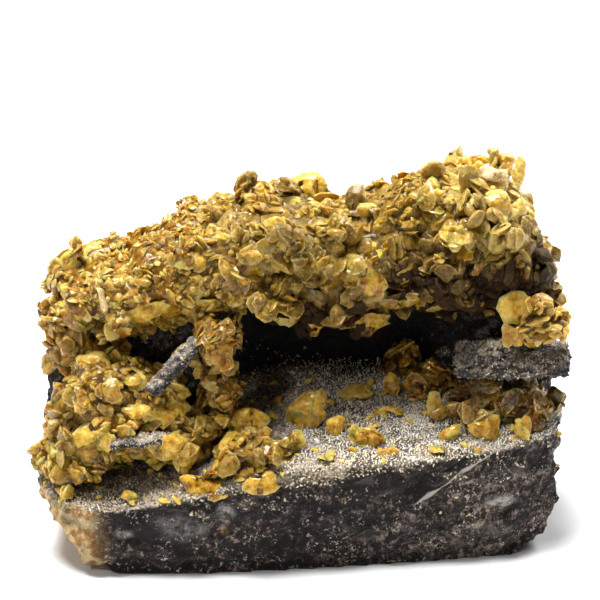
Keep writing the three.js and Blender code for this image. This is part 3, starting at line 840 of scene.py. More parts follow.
# ---------------------------------------------------------------- crystals
GRAND = [
    lens(18, 8, 41, dome=0.32, wave=0.03, ridge=0.14),
    lens(18, 8, 42, dome=0.28, wave=0.05, shield=0.1, ridge=0.18),
    lens(18, 8, 43, dome=0.34, wave=0.03, bend=0.09, oval=0.08, ridge=0.12),
    lens(18, 8, 44, dome=0.3, wave=0.04, corners=0.16, ridge=0.16),
]
BIG = [
    lens(12, 6, 1, dome=0.46, wave=0.04, ridge=0.14),
    lens(12, 6, 2, dome=0.4, wave=0.06, shield=0.12, ridge=0.18),
    lens(12, 6, 3, dome=0.44, wave=0.04, bend=0.1, oval=0.12, ridge=0.12),
    lens(12, 6, 4, dome=0.5, wave=0.03, corners=0.18, ridge=0.16),
    lens(12, 6, 5, dome=0.4, wave=0.05, bend=-0.1, oval=0.16, ridge=0.14),
    lens(11, 6, 6, dome=0.44, wave=0.07, shield=0.16, corners=0.14, ridge=0.2),
    lens(12, 6, 7, dome=0.42, wave=0.04, oval=0.22, bend=0.12, ridge=0.14),
]
MEDIUM = [
    lens(9, 4, 11, dome=0.55, wave=0.05, corners=0.1, ridge=0.14),
    lens(9, 4, 12, dome=0.5, wave=0.06, bend=0.1, oval=0.14, ridge=0.14),
    lens(9, 4, 13, dome=0.6, wave=0.03, corners=0.2, ridge=0.16),
]
SMALL = [lens(7, 4, 21, dome=0.45, wave=0.1, ridge=0.1), lens(6, 4, 22, dome=0.5, wave=0.05, oval=0.12)]


def rosettes(places):
    """The middle of the rosette that each place belongs to, how far off it is, and how near the next one."""
    found = [noise.voronoi(Vector(place) / ROSETTE) for place in places]
    middles = np.array([points[0] for _, points in found]) * ROSETTE
    nearest, second = np.array([reach[:2] for reach, _ in found]).T
    return middles, nearest, smooth_step(0.3, 0.0, second - nearest)


def regional(places, normals):
    """The siderite's paleness (partly painted light and shade), olive tint, fineness of grain and painted
    shade, from place to place.

    The zones' edges along X, Y and Z are in millimetres."""
    x, y, z = (places / MM).T
    top_right = within(x, (13, 24)) * within(z, (44, 49))
    far_right = within(x, (22, 30)) * within(z, (38, 46))
    low_right = within(x, (9, 16), (37, 34)) * within(z, (46, 39), (25, 28))
    golden = within(x, (25, 29)) * within(z, (24, 26), (38, 36)) * (y < GOLD_FRONT)
    under = within(x, (-14, -8), (22, 16)) * within(z, (36, 32), (27, 29))
    left = within(x, (-18, -30)) * within(z, (30, 34))
    middle = within(x, (-12, -4), (24, 16))
    # Paleness, partly the crystals' own and partly painted: the golden cluster's front is paler as painted
    # light, the lower right and the crust's underside less pale as painted shade.
    pale = 0.38 * top_right + 0.4 * far_right + 0.3 * left + 0.22 * golden
    pale -= 0.12 * low_right + 0.17 * middle + 0.2 * under
    olive = np.exp(-(((x - 2) / 15) ** 2)) * within(z, (28, 34)) * 0.4
    fine = within(x, (-9, -19)) * within(z, (30, 34))
    # Painted shade (the number deep): behind GOLD_FRONT on the crust's down-facing roof and on the lower
    # right, and on the front crystals low on the right.
    roof = within(normals[:, 2], (0.4, -0.4)) * within(z, (39, 34), (27, 29)) * within(x, (-9, -4))
    painted_shade = (y > GOLD_FRONT) * np.maximum(within(normals[:, 1], (0.5, 0.1)), within(y, (6, 2)))
    shaded = (y <= GOLD_FRONT) * within(x, (16, 19), (27, 24)) * within(z, (44, 41)) * 0.85
    deep = painted_shade * (roof + low_right * within(normals[:, 2], (0.8, 0.2))) + shaded * low_right
    return pale, olive, fine, clipped(deep)


def sown(skin, draw, clear_of, shapes, spacing, radii, depth, stacks, share):
    """Crystals sown over a skin in rosettes: upright in the middle, and leaning out like petals round it.

    Their middles stand off the skin by depth times their radius. The part called stacks get a slightly
    turned companion beside them, and only the part called share grow where the crust is coarse."""
    places, normals = skin.spread(spacing, draw)
    kept = draw.random(len(places)) < share + (1 - share) * regional(places, normals)[2]
    places, normals = places[kept], normals[kept]
    for middle, reach in clear_of:
        kept = ((places - middle) ** 2).sum(axis=1) > reach**2
        places, normals = places[kept], normals[kept]
    count = len(places)
    middles, _, crevice = rosettes(places)
    away = level(places - middles, normals)
    reach = clipped(np.linalg.norm(away, axis=1) / (0.6 * ROSETTE))
    away = unit(level(away + draw.normal(0, 0.16 * ROSETTE, (count, 3)), normals))
    lean = np.radians(LEAN - LEAN_LOSS * reach + draw.normal(0, LEAN_CHANCE, count))[:, None]
    axes = normals * np.cos(lean) - away * np.sin(lean)
    pale, olive, fine, deep = regional(places, normals)
    radius = draw.uniform(*radii, count) * (1 - 0.38 * fine)
    flatness = [1, draw.uniform(0.68, 1, count), draw.uniform(0.5, 1.1, count)]
    sizes = np.stack([radius * part for part in flatness], axis=1)
    centres = places + normals * (radius * draw.uniform(*depth, count))[:, None]
    shape = draw.integers(0, len(shapes), count)
    turn = turns(axes, draw.random(count) * math.tau, sizes)
    # Painted shade in the crevices between rosettes lowers the tone and adds to deep; painted light raises
    # the tone of crystals that face up.
    shadow = 0.25 * crevice * (1 - fine)
    lit = 0.15 * smooth_step(0.4, 0.8, normals[:, 2])
    tone = draw.normal(0.6, 0.18, count) + pale + lit + 0.3 * noise_at(middles, 2.3 * MM) - shadow
    copies = {
        "shape": shape,
        "turn": turn,
        "place": centres,
        "root": places,
        "up": normals,
        "tone": clipped(tone),
        "pale": clipped(draw.exponential(0.12, count) + pale + 0.1 * fine * draw.random(count)),
        "olive": clipped(draw.normal(0.1, 0.15, count) + olive + 0.5 * noise_at(middles, 3.1 * MM)),
        "deep": clipped(deep + shadow),
    }
    if not stacks:
        return copies
    chosen = draw.random(count) < stacks
    offset = axes * (radius * draw.choice([-1, 1], count) * draw.uniform(0.3, 0.55, count))[:, None]
    tipped = unit(axes + draw.normal(0, 0.16, (count, 3)))
    smaller = sizes * draw.uniform(0.7, 0.95, count)[:, None]
    beside = dict(copies)
    beside["turn"] = turns(tipped, draw.random(count) * math.tau, smaller)
    beside["place"] = centres + offset
    return {key: np.concatenate([copies[key], beside[key][chosen]]) for key in copies}


# Crystals that are known one by one: the pixel of the camera's view where each one's middle shows, its half
# width and half height in millimetres, the way it faces, its colour numbers, its thickness as a part of its
# width, its roll in degrees, and how far it stands out, in millimetres.
# The colour numbers are partly each crystal's own colour and partly painted light and shade: shadowed and
# down-facing plates get low tones, lit ledges high tones and paleness.
known = namedtuple(
    "known",
    "x y wide high axis tone pale olive thick roll proud",
    defaults=(0.15, 0.0, 0.8, 0, 0),
)

CRUST_KNOWN = {
    "crest_wedge": known(306, 186, 3.1, 2.4, (-0.1, -0.8, 0.6), 0.8, 0.25),
    "crest_amber_plate": known(258, 194, 3.0, 2.0, (0.15, -0.75, 0.65), 0.35, 0.0, roll=-8),
    "small_orange_plate": known(194, 202, 1.1, 1.0, (-0.4, -0.8, 0.4), 0.2),
    "brown_saddle_plate": known(362, 197, 2.0, 1.3, (0.1, -0.7, 0.7), 0.3),
    "yellow_block": known(368, 211, 1.8, 1.3, (0.25, -0.9, 0.3), 0.9, 0.35, thick=1.3),
    "pale_ledge": known(287, 203, 2.6, 1.2, (-0.1, -0.6, 0.8), 0.95, 0.6),
    "pale_ledge_right": known(312, 206, 2.6, 1.0, (0.1, -0.5, 0.85), 0.9, 0.4),
    "amber_wedge": known(333, 285, 2.1, 1.2, (0.2, -0.8, 0.5), 0.2, roll=-15),
    "amber_disc": known(372, 288, 2.4, 2.6, (0.1, -0.97, -0.05), 0.4, 0.05),
    "amber_disc_left": known(357, 284, 1.7, 2.2, (-0.3, -0.9, 0.0), 0.5, 0.1),
    "round_pale_lens": known(387, 259, 1.3, 1.3, (0.3, -0.95, 0.1), 0.7, 0.4, 0.5),
    "tall_amber_plate": known(255, 266, 1.6, 2.9, (-0.35, -0.93, 0.1), 0.5, 0.05, roll=8),
    "grey_lens": known(265, 250, 1.3, 1.4, (0.2, -0.95, 0.2), 0.7, 0.5, 0.8),
    "hanging_pale_lens": known(287, 312, 2.2, 2.3, (-0.1, -0.97, 0.1), 0.8, 0.4),
    "hanging_brown_lens": known(313, 327, 1.9, 1.5, (0.2, -0.9, -0.1), 0.3, 0.05),
    "hanging_wide_lens": known(368, 322, 3.6, 2.2, (0.1, -0.93, -0.3), 0.4, 0.1, 0.45),
    "olive_lens": known(407, 273, 2.0, 2.2, (0.15, -0.95, -0.1), 0.4, 0.05, 0.6),
    "top_amber_lens": known(462, 168, 1.9, 1.7, (-0.1, -0.85, 0.5), 0.45, 0.1),
    "top_pale_lens": known(466, 192, 1.0, 0.9, (0, -0.95, 0.2), 0.7, 0.5, 0.5),
    "top_grey_lens": known(434, 198, 1.5, 1.1, (-0.1, -0.9, 0.4), 0.5, 0.2, 0.8),
    "lobe_left": known(428, 228, 1.8, 2.2, (-0.2, -0.93, 0.2), 0.5, 0.1),
    "lobe_right": known(447, 221, 1.9, 1.9, (0.2, -0.93, 0.25), 0.6, 0.12),
    "lower_wedge": known(457, 251, 2.8, 2.0, (-0.15, -0.75, 0.6), 0.4, 0.05, roll=-25),
    "shadowed_plate": known(483, 266, 1.9, 2.0, (0.3, -0.9, -0.2), 0.05, 0.0),
    "small_pale_plate": known(468, 232, 1.4, 0.9, (0.1, -0.7, 0.7), 0.8, 0.5),
    "knob_left_plate": known(477, 172, 1.3, 1.4, (-0.4, -0.85, 0.4), 0.75, 0.35, proud=0.6),
    "knob_low_plate": known(493, 186, 1.9, 1.0, (0.1, -0.7, 0.7), 0.8, 0.45, proud=0.8),
    "knob_right_plate": known(508, 172, 1.1, 1.7, (0.6, -0.75, 0.2), 0.85, 0.35, proud=0.6),
    "right_pale_plate": known(512, 243, 1.7, 1.6, (0.3, -0.9, 0.4), 0.8, 0.4),
    "right_block_front": known(496, 204, 2.7, 1.9, (0.05, -0.9, 0.4), 0.85, 0.55, thick=1.1, proud=0.4),
    "right_block_side": known(514, 192, 1.8, 2.7, (0.55, -0.8, 0.2), 0.9, 0.7, thick=1.1, proud=0.6),
    "crown_left": known(479, 160, 2.0, 1.3, (-0.1, -0.85, 0.5), 0.7, 0.3),
    "crown_right": known(504, 160, 2.0, 1.5, (0.25, -0.85, 0.45), 0.75, 0.35, thick=1.0, proud=0.3),
    "crown_end": known(519, 172, 1.6, 2.0, (0.6, -0.75, 0.25), 0.9, 0.7, thick=1.0, proud=0.3),
    "right_block_low": known(517, 214, 2.0, 2.3, (0.55, -0.8, 0.1), 0.85, 0.6, thick=1.1, proud=0.6),
    "hanging_left_plate": known(122, 333, 1.5, 1.1, (-0.1, -0.9, -0.3), 0.1, 0.0),
    "low_curved_ledge": known(146, 312, 3.7, 1.7, (0.1, -0.8, -0.4), 0.6, 0.15, roll=8),
    "low_curved_ledge_right": known(172, 310, 2.2, 1.5, (0.3, -0.85, -0.3), 0.5, 0.1, roll=-10),
    "low_dark_curve": known(72, 318, 2.1, 1.9, (-0.2, -0.93, -0.2), 0.15, 0.05),
    "left_end_yellow": known(68, 264, 1.7, 2.1, (-0.3, -0.9, 0.3), 0.85, 0.2),
    "left_top_yellow": known(91, 250, 2.0, 1.4, (0, -0.6, 0.8), 0.95, 0.35),
    "middle_pale_ledge": known(186, 262, 1.7, 1.0, (0.1, -0.7, 0.7), 0.9, 0.45),
    "upper_honey_lens": known(222, 243, 1.7, 1.5, (0.2, -0.9, 0.4), 0.6, 0.2),
    "mid_honey_lens": known(318, 232, 2.0, 1.2, (0.2, -0.75, 0.6), 0.75, 0.25, roll=18),
    "mid_left_lens": known(277, 228, 1.7, 1.8, (-0.3, -0.9, 0.3), 0.6, 0.15),
    "olive_petal": known(315, 262, 1.6, 1.8, (0.4, -0.9, 0.1), 0.5, 0.1, 0.6),
    "upright_petal": known(297, 243, 1.2, 1.9, (0.6, -0.75, 0.2), 0.6, 0.2, 0.4),
}
CRUST_KNOWN.update(
    {
        f"rosette_petal_{number}": known(
            373 + 12 * math.cos(number * math.tau / 9),
            262 + 12 * math.sin(number * math.tau / 9),
            1.3,
            1.0,
            (0.75 * math.cos(number * math.tau / 9), -0.75, -0.55 * math.sin(number * math.tau / 9)),
            0.75,
            0.35,
            roll=number * 40,
        )
        for number in range(9)
    }
)
LEFT_KNOWN = {
    "pale_crown": known(93, 362, 2.6, 1.8, (0, -0.75, 0.65), 0.8, 0.3),
    "amber_middle": known(109, 391, 2.0, 1.9, (0.1, -0.9, 0.35), 0.3),
    "pale_shard": known(138, 381, 1.6, 1.4, (-0.2, -0.9, 0.4), 0.8, 0.5, 0.4),
    "arched_petal": known(137, 410, 3.5, 2.2, (0.05, -0.7, 0.7), 0.65, 0.15, roll=-14),
    "arched_petal_right": known(168, 414, 3.0, 2.2, (0.1, -0.7, 0.7), 0.65, 0.15, roll=22),
    "pale_oval": known(143, 427, 2.2, 1.1, (0, -0.96, 0.2), 0.75, 0.45),
    "grey_lens": known(193, 414, 2.1, 1.3, (0.2, -0.9, 0.4), 0.6, 0.4, 0.8, roll=24),
    "left_petal": known(88, 438, 3.0, 2.6, (0.1, -0.92, 0.35), 0.8, 0.25),
    "left_lobe": known(97, 453, 1.7, 1.4, (-0.1, -0.95, 0.1), 0.7, 0.15),
    "clear_lens": known(143, 453, 2.3, 1.0, (0, -0.93, 0.3), 0.7, 0.35, 0.5, proud=1.3),
    "chip_end_right": known(172, 442, 1.6, 1.4, (0.3, -0.9, 0.3), 0.55, 0.1, proud=2.2),
    "chip_end_left": known(107, 441, 1.4, 1.5, (-0.2, -0.93, 0.2), 0.75, 0.2, proud=1.8),
    "lower_right_lens": known(174, 449, 2.5, 1.7, (0.25, -0.9, 0.2), 0.5, 0.1),
    "left_edge_plate": known(62, 408, 1.4, 2.1, (-0.3, -0.93, 0.2), 0.6, 0.15),
    "framed_plate": known(178, 393, 1.9, 1.2, (0.1, -0.8, 0.5), 0.5, 0.3, 0.5),
}
PILLAR_KNOWN = {
    "round_lens": known(200, 373, 1.2, 1.1, (0, -0.95, 0.3), 0.8, 0.4),
    "crown_lens": known(206, 324, 1.7, 1.4, (-0.1, -0.8, 0.6), 0.9, 0.35),
    "amber_lens": known(222, 352, 2.0, 2.1, (0.2, -0.95, 0.2), 0.5, 0.05),
    "edge_lens": known(232, 370, 1.4, 1.9, (0.5, -0.85, 0.1), 0.6, 0.1),
}
FRONT_KNOWN = {
    "arch": known(247, 421, 3.7, 2.2, (0, -0.65, 0.75), 0.45, 0.15),
    "round_disc": known(249, 437, 1.7, 1.6, (0.05, -0.95, 0.25), 0.5, 0.3, 0.5),
    "upright_plate": known(298, 446, 1.5, 2.7, (0.25, -0.95, 0.1), 0.8, 0.35, roll=6),
    "flat_lens": known(287, 466, 2.6, 1.1, (0, -0.6, 0.8), 0.6, 0.25, 0.4),
    "slanted_plate": known(205, 488, 4.0, 2.0, (0.05, -0.8, 0.6), 0.25, 0.0, roll=-14),
    "low_right_plate": known(262, 484, 2.7, 1.6, (0.1, -0.8, 0.5), 0.6, 0.15),
    "steep_plate": known(226, 460, 1.4, 2.2, (0.45, -0.88, 0.1), 0.55, 0.15),
}
GOLD_KNOWN = {
    "fan": known(515, 308, 2.9, 2.6, (-0.1, -0.95, 0.2), 0.65, 0.2),
    "bright_block": known(535, 333, 1.8, 1.9, (0.2, -0.95, 0.2), 0.9, 0.4, thick=1.1),
    "dark_face": known(516, 337, 1.5, 1.6, (0.1, -0.97, -0.1), 0.05, 0.0),
}
BROWN_KNOWN = {
    "dark_plate": known(466, 398, 3.3, 1.6, (0, -0.93, 0.2), 0.2, 0.0),
    "rough_edge": known(499, 402, 0.9, 2.6, (0.75, -0.6, 0.2), 0.75, 0.45, roll=-8),
    "cream_top": known(536, 395, 1.5, 0.8, (0.1, -0.85, 0.5), 0.9, 0.7),
    "pale_olive_lens": known(513, 417, 1.6, 1.3, (-0.3, -0.85, 0.4), 0.65, 0.35, 0.6),
    "dark_upright": known(513, 402, 1.8, 2.4, (0.2, -0.95, 0.0), 0.05, 0.0),
    "rust_chunk": known(533, 420, 1.9, 1.8, (0.1, -0.9, 0.4), 0.6, 0.1, thick=1.3),
}
HOLLOW_KNOWN = {
    "amber_petal": known(437, 381, 2.4, 1.4, (0.1, -0.8, 0.5), 0.35, 0.05),
    "olive_upright": known(431, 407, 1.2, 1.9, (0.3, -0.93, 0.1), 0.6, 0.15, 0.4),
}


def gathered(crystals, middles, first=0):
    """The copies' arrays of known crystals whose middles are at those places."""
    axes = np.array([Vector(crystal.axis).normalized() for crystal in crystals])
    sizes = [(crystal.high, crystal.wide, crystal.thick * crystal.wide) for crystal in crystals]
    rolls = np.radians([crystal.roll for crystal in crystals])
    return {
        "shape": (first + np.arange(len(crystals))) % len(GRAND),
        "turn": turns(axes, rolls, np.array(sizes) * MM),
        "place": np.array(middles),
        "tone": np.array([crystal.tone for crystal in crystals]),
        "pale": np.array([crystal.pale for crystal in crystals]),
        "olive": np.array([crystal.olive for crystal in crystals]),
    }


def placed(skin, crystals):
    """Known crystals set on the skin where their pixels fall, and the balls round them to keep clear."""
    middles, balls = [], []
    for crystal in crystals:
        start, ahead = ray_through(crystal.x, crystal.y)
        hit = skin.tree.ray_cast(start, ahead)[0] or skin.passing(start, ahead)
        middles.append(hit + ahead * (SUNK - crystal.proud) * MM)
        balls.append((np.array(hit - ahead * 0.8 * MM), KEPT_CLEAR * crystal.wide * MM))
    return gathered(crystals, middles), balls


def skin_of(node):
    """The body of a crust: its CAD solid's skin, domed at each rosette and cut in between."""
    mesh = remeshed(merged(node), SKIN_VOXEL, SKIN_SMOOTHING)
    places, normals = read(mesh)
    lumps = np.array([noise.fractal(Vector(place) / MM * 0.6, 1, 2, 3) for place in places]) * 0.5 * MM
    _, away, crevice = rosettes(places)
    lumps += (DOME * (DOME_EDGE - away) - CREVICE * crevice) * MM
    moved(mesh, places + normals * (lumps - SKIN_SETBACK)[:, None])
    mesh.shade_smooth()
    return mesh


def lens_piece(name, shapes, copies, slot, *nodes, finish=None):
    """A piece of many lenses. Its finish is the siderite that the slot names, if no other is given."""
    mesh = joined(name, shapes, copies)
    moved(mesh, rippled(read(mesh)[0]))
    mesh.shade_smooth()
    mesh.set_sharp_from_angle(angle=SHARP)
    piece(name, mesh, SIDERITE[finish or slot], slot, *nodes)


SOWN_SIZES = {  # shapes, spacing and radii in millimetres, then sown's depth, stacks and share
    "large": (BIG, 1.75, (1.3, 2.2), (-0.5, -0.1), 0.35, 1.0),
    "medium": (MEDIUM, 1.15, (0.8, 1.4), (-0.4, 0.1), 0.0, 0.9),
    "small": (SMALL, 0.9, (0.4, 0.8), (-0.1, 0.6), 0.0, 0.5),
}


def coat(name, node, slot, seed, listed, scale=1.0):
    """A crust: its body, the crystals that are known one by one, and three sizes sown over the rest."""
    draw = np.random.default_rng(seed)
    body = skin_of(node)
    skin = Skin(body)
    _, olive, fine, deep = regional(skin.places, skin.normals)
    # Painted shade on the body: the number deep, with more of it in the crevices between rosettes.
    deep = clipped(deep + 0.4 * rosettes(skin.places)[2] * (1 - fine))
    for key, values in (("tone", 0.25 + 0.3 * fine), ("olive", olive), ("deep", deep)):
        give(body, key, values)
    piece(f"{name}_body", body, MASS, slot, node)
    standing, clear_of = placed(skin, listed.values())
    lens_piece(f"{name}_standing_lenses", GRAND, standing, slot, node)
    size = scale * MM
    for label, (shapes, spacing, (low, high), depth, stacks, share) in SOWN_SIZES.items():
        radii = (low * size, high * size)
        copies = sown(skin, draw, clear_of, shapes, spacing * size, radii, depth, stacks, share)
        lens_piece(f"{name}_{label}_lenses", shapes, copies, slot, node)


coat("crust", "upper_siderite_crust", "honey_siderite", 1, CRUST_KNOWN)
coat("left_cluster", "left_siderite_cluster", "honey_siderite", 2, LEFT_KNOWN)
coat("pillar", "siderite_pillar", "amber_siderite", 3, PILLAR_KNOWN, 0.9)
coat("front_cluster", "front_siderite_cluster", "honey_siderite", 4, FRONT_KNOWN)
coat("golden_cluster", "golden_siderite_cluster", "gold_siderite", 5, GOLD_KNOWN)
coat("brown_cluster", "brown_siderite_cluster", "rust_siderite", 6, BROWN_KNOWN)
coat("hollow_crust", "hollow_siderite_crust", "amber_siderite", 7, HOLLOW_KNOWN, 0.9)


# ---------------------------------------------------------------- crystals on the hollow's left wall
def leaning(mesh, spacing, draw, chance, tries, tilt):
    """Places spread over a mesh, the normals there, and ways that lean off them at random by about tilt."""
    spots, ups = Skin(mesh).spread(spacing, draw, chance, tries)
    return spots, ups, unit(ups + draw.normal(0, tilt, (len(spots), 3)))


def on_left_wall(places, normals):
    x, y, z = (places / MM).T
    low = within(x, (-25, -28)) * within(z, (23, 25), (36, 33))
    hanging = within(x, (-16, -19)) * within(z, (28.5, 30))
    return np.maximum(low, hanging) * (y < 2) * within(normals[:, 1], (0.1, -0.3))


def wall_crystals():
    draw = np.random.default_rng(60)
    spots, ups, axes = leaning(rock_mesh, 1.0 * MM, draw, on_left_wall, 4, 0.6)
    count = len(spots)
    radius = draw.uniform(0.8, 1.9, count) * MM
    sizes = np.stack([radius, radius * draw.uniform(0.7, 1, count), radius], axis=1)
    copies = {
        "shape": draw.integers(0, len(BIG), count),
        "turn": turns(axes, draw.random(count) * math.tau, sizes),
        "place": spots + ups * (0.2 * MM),
        "root": spots,
        "up": ups,
        "tone": clipped(draw.normal(0.5, 0.2, count)),
        "pale": draw.uniform(0, 0.3, count),
        "olive": draw.uniform(0, 0.3, count),
        # Painted shade, a little at random, on the crystals of the hollow's wall.
        "deep": draw.uniform(0, 0.2, count),
    }
    lens_piece("left_wall_lenses", BIG, copies, "amber_siderite")


wall_crystals()


# ---------------------------------------------------------------- loose crystals on the plateau
def node_shape(name):
    """A CAD node's middle, its three main directions, longest first, and its half sizes along them."""
    places, _ = read(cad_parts[name].data)
    middle = (places.min(axis=0) + places.max(axis=0)) / 2
    _, _, directions = np.linalg.svd(places - places.mean(axis=0))
    reach = np.abs((places - middle) @ directions.T).max(axis=0)
    return middle, directions, reach


LOOSE = {
    "plateau_crystal_01": [
        known(307, 412, 3.1, 2.8, (-0.15, -0.92, 0.3), 0.6, 0.1, 0.1, thick=1.1, roll=10),
        known(318, 403, 1.4, 2.7, (0.75, -0.6, 0.25), 0.65, 0.35, roll=-25),
        known(324, 401, 1.0, 2.1, (0.85, -0.5, 0.1), 0.45, 0.35, roll=-20),
        known(296, 420, 1.6, 2.1, (-0.6, -0.75, 0.2), 0.4, 0.05, roll=30),
    ],
    "plateau_crystal_02": [
        known(336, 427, 1.6, 1.5, (0.05, -0.9, 0.4), 0.75, 0.2, thick=1.5),
        known(341, 431, 0.9, 0.8, (0.5, -0.8, 0.2), 0.35, thick=1.2),
    ],
    "plateau_crystal_03": [
        known(355, 436, 1.5, 1.8, (-0.5, -0.8, 0.4), 0.7, 0.2, thick=1.1, roll=-10),
        known(367, 438, 2.9, 1.2, (0.1, -0.7, 0.7), 0.35, 0.0, thick=1.3, roll=-14),
        known(372, 435, 2.3, 0.9, (0.3, -0.45, 0.85), 0.6, 0.25, thick=0.8, roll=-18),
    ],
    "plateau_crystal_04": [known(388, 452, 1.7, 0.9, (0, -0.6, 0.8), 0.5, 0.1, 0.4)],
    "plateau_crystal_05": [
        known(357, 391, 2.7, 1.5, (0, -0.5, 0.87), 0.45, 0.35, 0.7, thick=0.9),
        known(350, 393, 1.5, 1.2, (-0.3, -0.7, 0.5), 0.4, 0.2, 0.5),
    ],
    "plateau_crystal_06": [
        known(391, 383, 1.3, 1.9, (0.1, -0.93, 0.2), 0.25, 0.05, 0.3, thick=0.8, roll=12),
        known(398, 388, 0.6, 1.5, (0.8, -0.6, 0.1), 0.5, 0.3, 0.3),
    ],
    "plateau_crystal_07": [
        known(374, 418, 1.2, 0.7, (-0.3, -0.7, 0.6), 0.7, 0.35, roll=-20),
        known(381, 412, 1.3, 0.8, (0.1, -0.6, 0.75), 0.6, 0.3, roll=-10),
        known(390, 408, 1.5, 0.7, (0.1, -0.7, 0.7), 0.8, 0.45),
        known(399, 411, 1.1, 0.6, (0.4, -0.7, 0.5), 0.6, 0.3, roll=20),
    ],
    "plateau_crystal_08": [
        known(450, 433, 2.1, 1.0, (-0.1, -0.75, 0.6), 0.85, 0.2, thick=0.9, roll=38),
        known(454, 437, 1.2, 0.7, (0.3, -0.8, 0.5), 0.6, 0.3, roll=30),
    ],
    "plateau_crystal_09": [
        known(487, 428, 2.5, 2.0, (0.1, -0.88, 0.4), 0.45, 0.05, thick=1.0, roll=-12),
        known(480, 420, 1.6, 1.5, (-0.2, -0.8, 0.5), 0.6, 0.4, 0.3),
        known(494, 434, 1.6, 1.1, (0.5, -0.8, 0.1), 0.25, 0.0, roll=-20),
    ],
    "plateau_crystal_10": [
        known(434, 404, 1.2, 2.1, (0.25, -0.92, 0.2), 0.75, 0.45, 0.2, roll=-14),
        known(439, 414, 1.4, 1.0, (0.1, -0.8, 0.5), 0.3, 0.0, 0.7),
    ],
    "plateau_crystal_11": [
        known(521, 431, 1.1, 1.8, (-0.5, -0.8, 0.2), 0.7, 0.2, roll=32),
        known(525, 427, 1.2, 1.6, (0.4, -0.85, 0.2), 0.5, 0.1, roll=18),
    ],
}


def loose_bunch(name, crystals):
    """The known crystals of one node, at the depth of the node's middle."""
    middle = Vector(node_shape(name)[0])
    rays = [ray_through(crystal.x, crystal.y) for crystal in crystals]
    middles = [start + ahead * (middle - start).dot(ahead) for start, ahead in rays]
    return gathered(crystals, middles, first=int(name[-1]))


LOOSE_THICKNESS = 2.2  # how much thicker a loose lens is than its CAD solid's shallowest side
TWIN_SIZE = [[0.7, 0.6, 1.4]]  # the smaller lens's half sizes, as parts of its neighbour's reach


def loose_pair(name, number):
    """A lens of the size and tilt of its CAD node, and a smaller one grown through it."""
    draw = np.random.default_rng(100 + number)
    middle, (along, across, axis), reach = node_shape(name)
    if np.linalg.det([along, across, axis]) < 0:
        across = -across
    turn = np.stack([along * reach[0], across * reach[1], axis * reach[2] * LOOSE_THICKNESS], axis=1)
    tipped = unit(np.array([axis + draw.normal(0, 0.3, 3)]))
    twin = turns(tipped, draw.random(1) * 6, reach[None, :] * TWIN_SIZE)
    return {
        "shape": np.array([number, number + 1]) % len(GRAND),
        "turn": np.stack([turn, twin[0]]),
        "place": np.stack([middle, middle + along * reach[0] * 0.25]),
        "tone": clipped(draw.normal(0.65, 0.12, 2)),
        "pale": clipped(draw.normal(0.2, 0.1, 2)),
        "olive": clipped(draw.normal(0.1, 0.1, 2)),
    }


for number, name in enumerate(sorted(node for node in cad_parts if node.startswith("plateau_crystal"))):
    copies = loose_bunch(name, LOOSE[name]) if name in LOOSE else loose_pair(name, number)
    lens_piece(f"loose_{name}", GRAND, copies, "gold_siderite", name, finish="loose_honey")


# ---------------------------------------------------------------- loose stones and milky quartz
def stone(label, node, seed, relief, finish, slot, softened=1, flattened=1.0):
    mesh = remeshed(merged(node), STONE_VOXEL, softened)
    places, normals = read(mesh)
    places[:, 2] = places[:, 2].mean() + (places[:, 2] - places[:, 2].mean()) * flattened
    point = places / MM + seed * 10
    lumps = np.array([noise.fractal(Vector(spot) * 0.9, 0.9, 2.2, 4) for spot in point])
    moved(mesh, places + normals * (lumps * relief)[:, None])
    mesh.shade_smooth()
    _, normals = read(mesh)
    give(mesh, "druse", smooth_step(0.35, 0.75, normals[:, 2]))
    piece(label, mesh, finish, slot, node)
    return mesh


bar_mesh = stone("quartz_bar_core", "drusy_quartz_bar", 1, 0.35 * MM, STONE, "druse")
slab_mesh = stone("quartz_slab_core", "drusy_quartz_slab", 2, 0.7 * MM, STONE, "druse", softened=14)
chip_mesh = stone("rock_chip_core", "embedded_rock_chip", 3, 0.4 * MM, STONE, "druse", 2, 0.7)
stone("white_blade", "white_quartz_blade", 4, 0.15 * MM, MILKY, "quartz")
stone("milky_knob", "top_quartz_knob", 5, 0.4 * MM, MILKY, "quartz", 2, 0.8)

# ---------------------------------------------------------------- quartz grains
GRAINS = [grain(5, 31), grain(5, 32), grain(4, 33)]


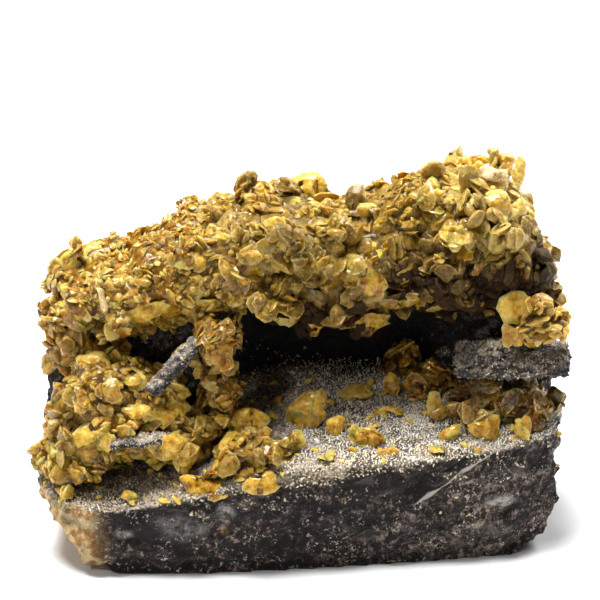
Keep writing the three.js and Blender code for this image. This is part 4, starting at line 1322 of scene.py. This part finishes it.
def druse(name, mesh, spacing, sizes, seed, chance, node):
    """Tiny quartz crystals sown over a mesh where chance(places, normals) lets them grow."""
    draw = np.random.default_rng(seed)
    spots, ups, axes = leaning(mesh, spacing, draw, chance, 4, 0.5)
    count = len(spots)
    size = draw.uniform(*sizes, count) * np.where(draw.random(count) < 0.06, 1.7, 1)
    patch = noise_at(spots, 3 * MM)
    near_front = smooth_step(-13 * MM, -18 * MM, spots[:, 1])
    across = spots[:, 0] / MM
    # Partly painted light: right of the middle the druse is made lighter against the crust's shade there. It
    # is also lighter along the front edge except at the left end, darker further back on the left, and darker
    # on the stones above the plateau.
    lighter = near_front * (0.25 - 0.25 * smooth_step(-12, -17, across)) + 0.52 * smooth_step(-4, 8, across)
    lighter -= 0.35 * smooth_step(0, -7, across) * (1 - near_front)
    lighter = np.where(spots[:, 2] < 24 * MM, lighter + 0.03, -0.1)
    copies = {
        "shape": draw.integers(0, len(GRAINS), count),
        "turn": turns(axes, draw.random(count) * math.tau, np.stack([size, size, size * 1.1], axis=1)),
        "place": spots + ups * (size * 0.15)[:, None],
        "tone": clipped(0.12 + 0.78 * draw.beta(1.5, 1.4, count) + 0.35 * patch + lighter),
        "warm": clipped(0.3 + draw.random(count) * 0.6 + 0.6 * near_front + 1.2 * noise_at(spots, 2 * MM)),
    }
    piece(name, joined(name, GRAINS, copies), QUARTZ, "druse", node)


def on_plateau(places, normals):
    lit = smooth_step(7 * MM, 3 * MM, places[:, 1])
    return smooth_step(0.3, 0.7, normals[:, 2]) * lit * (places[:, 2] > 7 * MM) * (places[:, 2] < 27 * MM)


def on_lip(places, normals):
    near = smooth_step(-1.8 * MM, 0.2 * MM, above_edge(places)) * (places[:, 1] < -15 * MM)
    return near * (normals[:, 2] < 0.5) * 0.5


def on_top(places, normals):
    return 0.08 + 0.92 * smooth_step(0.3, 0.75, normals[:, 2])


druse("plateau_druse", rock_mesh, 0.33 * MM, (0.24 * MM, 0.5 * MM), 30, on_plateau, "matrix_rock")
druse("lip_druse", rock_mesh, 0.4 * MM, (0.25 * MM, 0.55 * MM), 35, on_lip, "matrix_rock")
druse("bar_druse", bar_mesh, 0.3 * MM, (0.18 * MM, 0.34 * MM), 31, on_top, "drusy_quartz_bar")
druse("slab_druse", slab_mesh, 0.34 * MM, (0.2 * MM, 0.42 * MM), 32, on_top, "drusy_quartz_slab")
druse("chip_druse", chip_mesh, 0.32 * MM, (0.2 * MM, 0.4 * MM), 33, on_top, "embedded_rock_chip")


# ---------------------------------------------------------------- small siderite crystals strewn on the druse
def here_and_there(places, normals):
    return on_plateau(places, normals) * 0.16 * (places[:, 1] < 2 * MM)


def strewn():
    draw = np.random.default_rng(50)
    spots, ups, axes = leaning(rock_mesh, 1.5 * MM, draw, here_and_there, 2, 0.5)
    count = len(spots)
    radius = draw.uniform(0.35, 0.95, count) * MM
    sizes = np.stack([radius, radius * draw.uniform(0.55, 1, count), radius], axis=1)
    copies = {
        "shape": draw.integers(0, len(MEDIUM), count),
        "turn": turns(axes, draw.random(count) * math.tau, sizes),
        "place": spots + ups * (0.15 * MM),
        "tone": draw.uniform(0.5, 1, count),
        "pale": draw.uniform(0.1, 0.7, count),
        "olive": draw.uniform(0, 0.4, count),
    }
    lens_piece("strewn_lenses", MEDIUM, copies, "honey_siderite")


strewn()
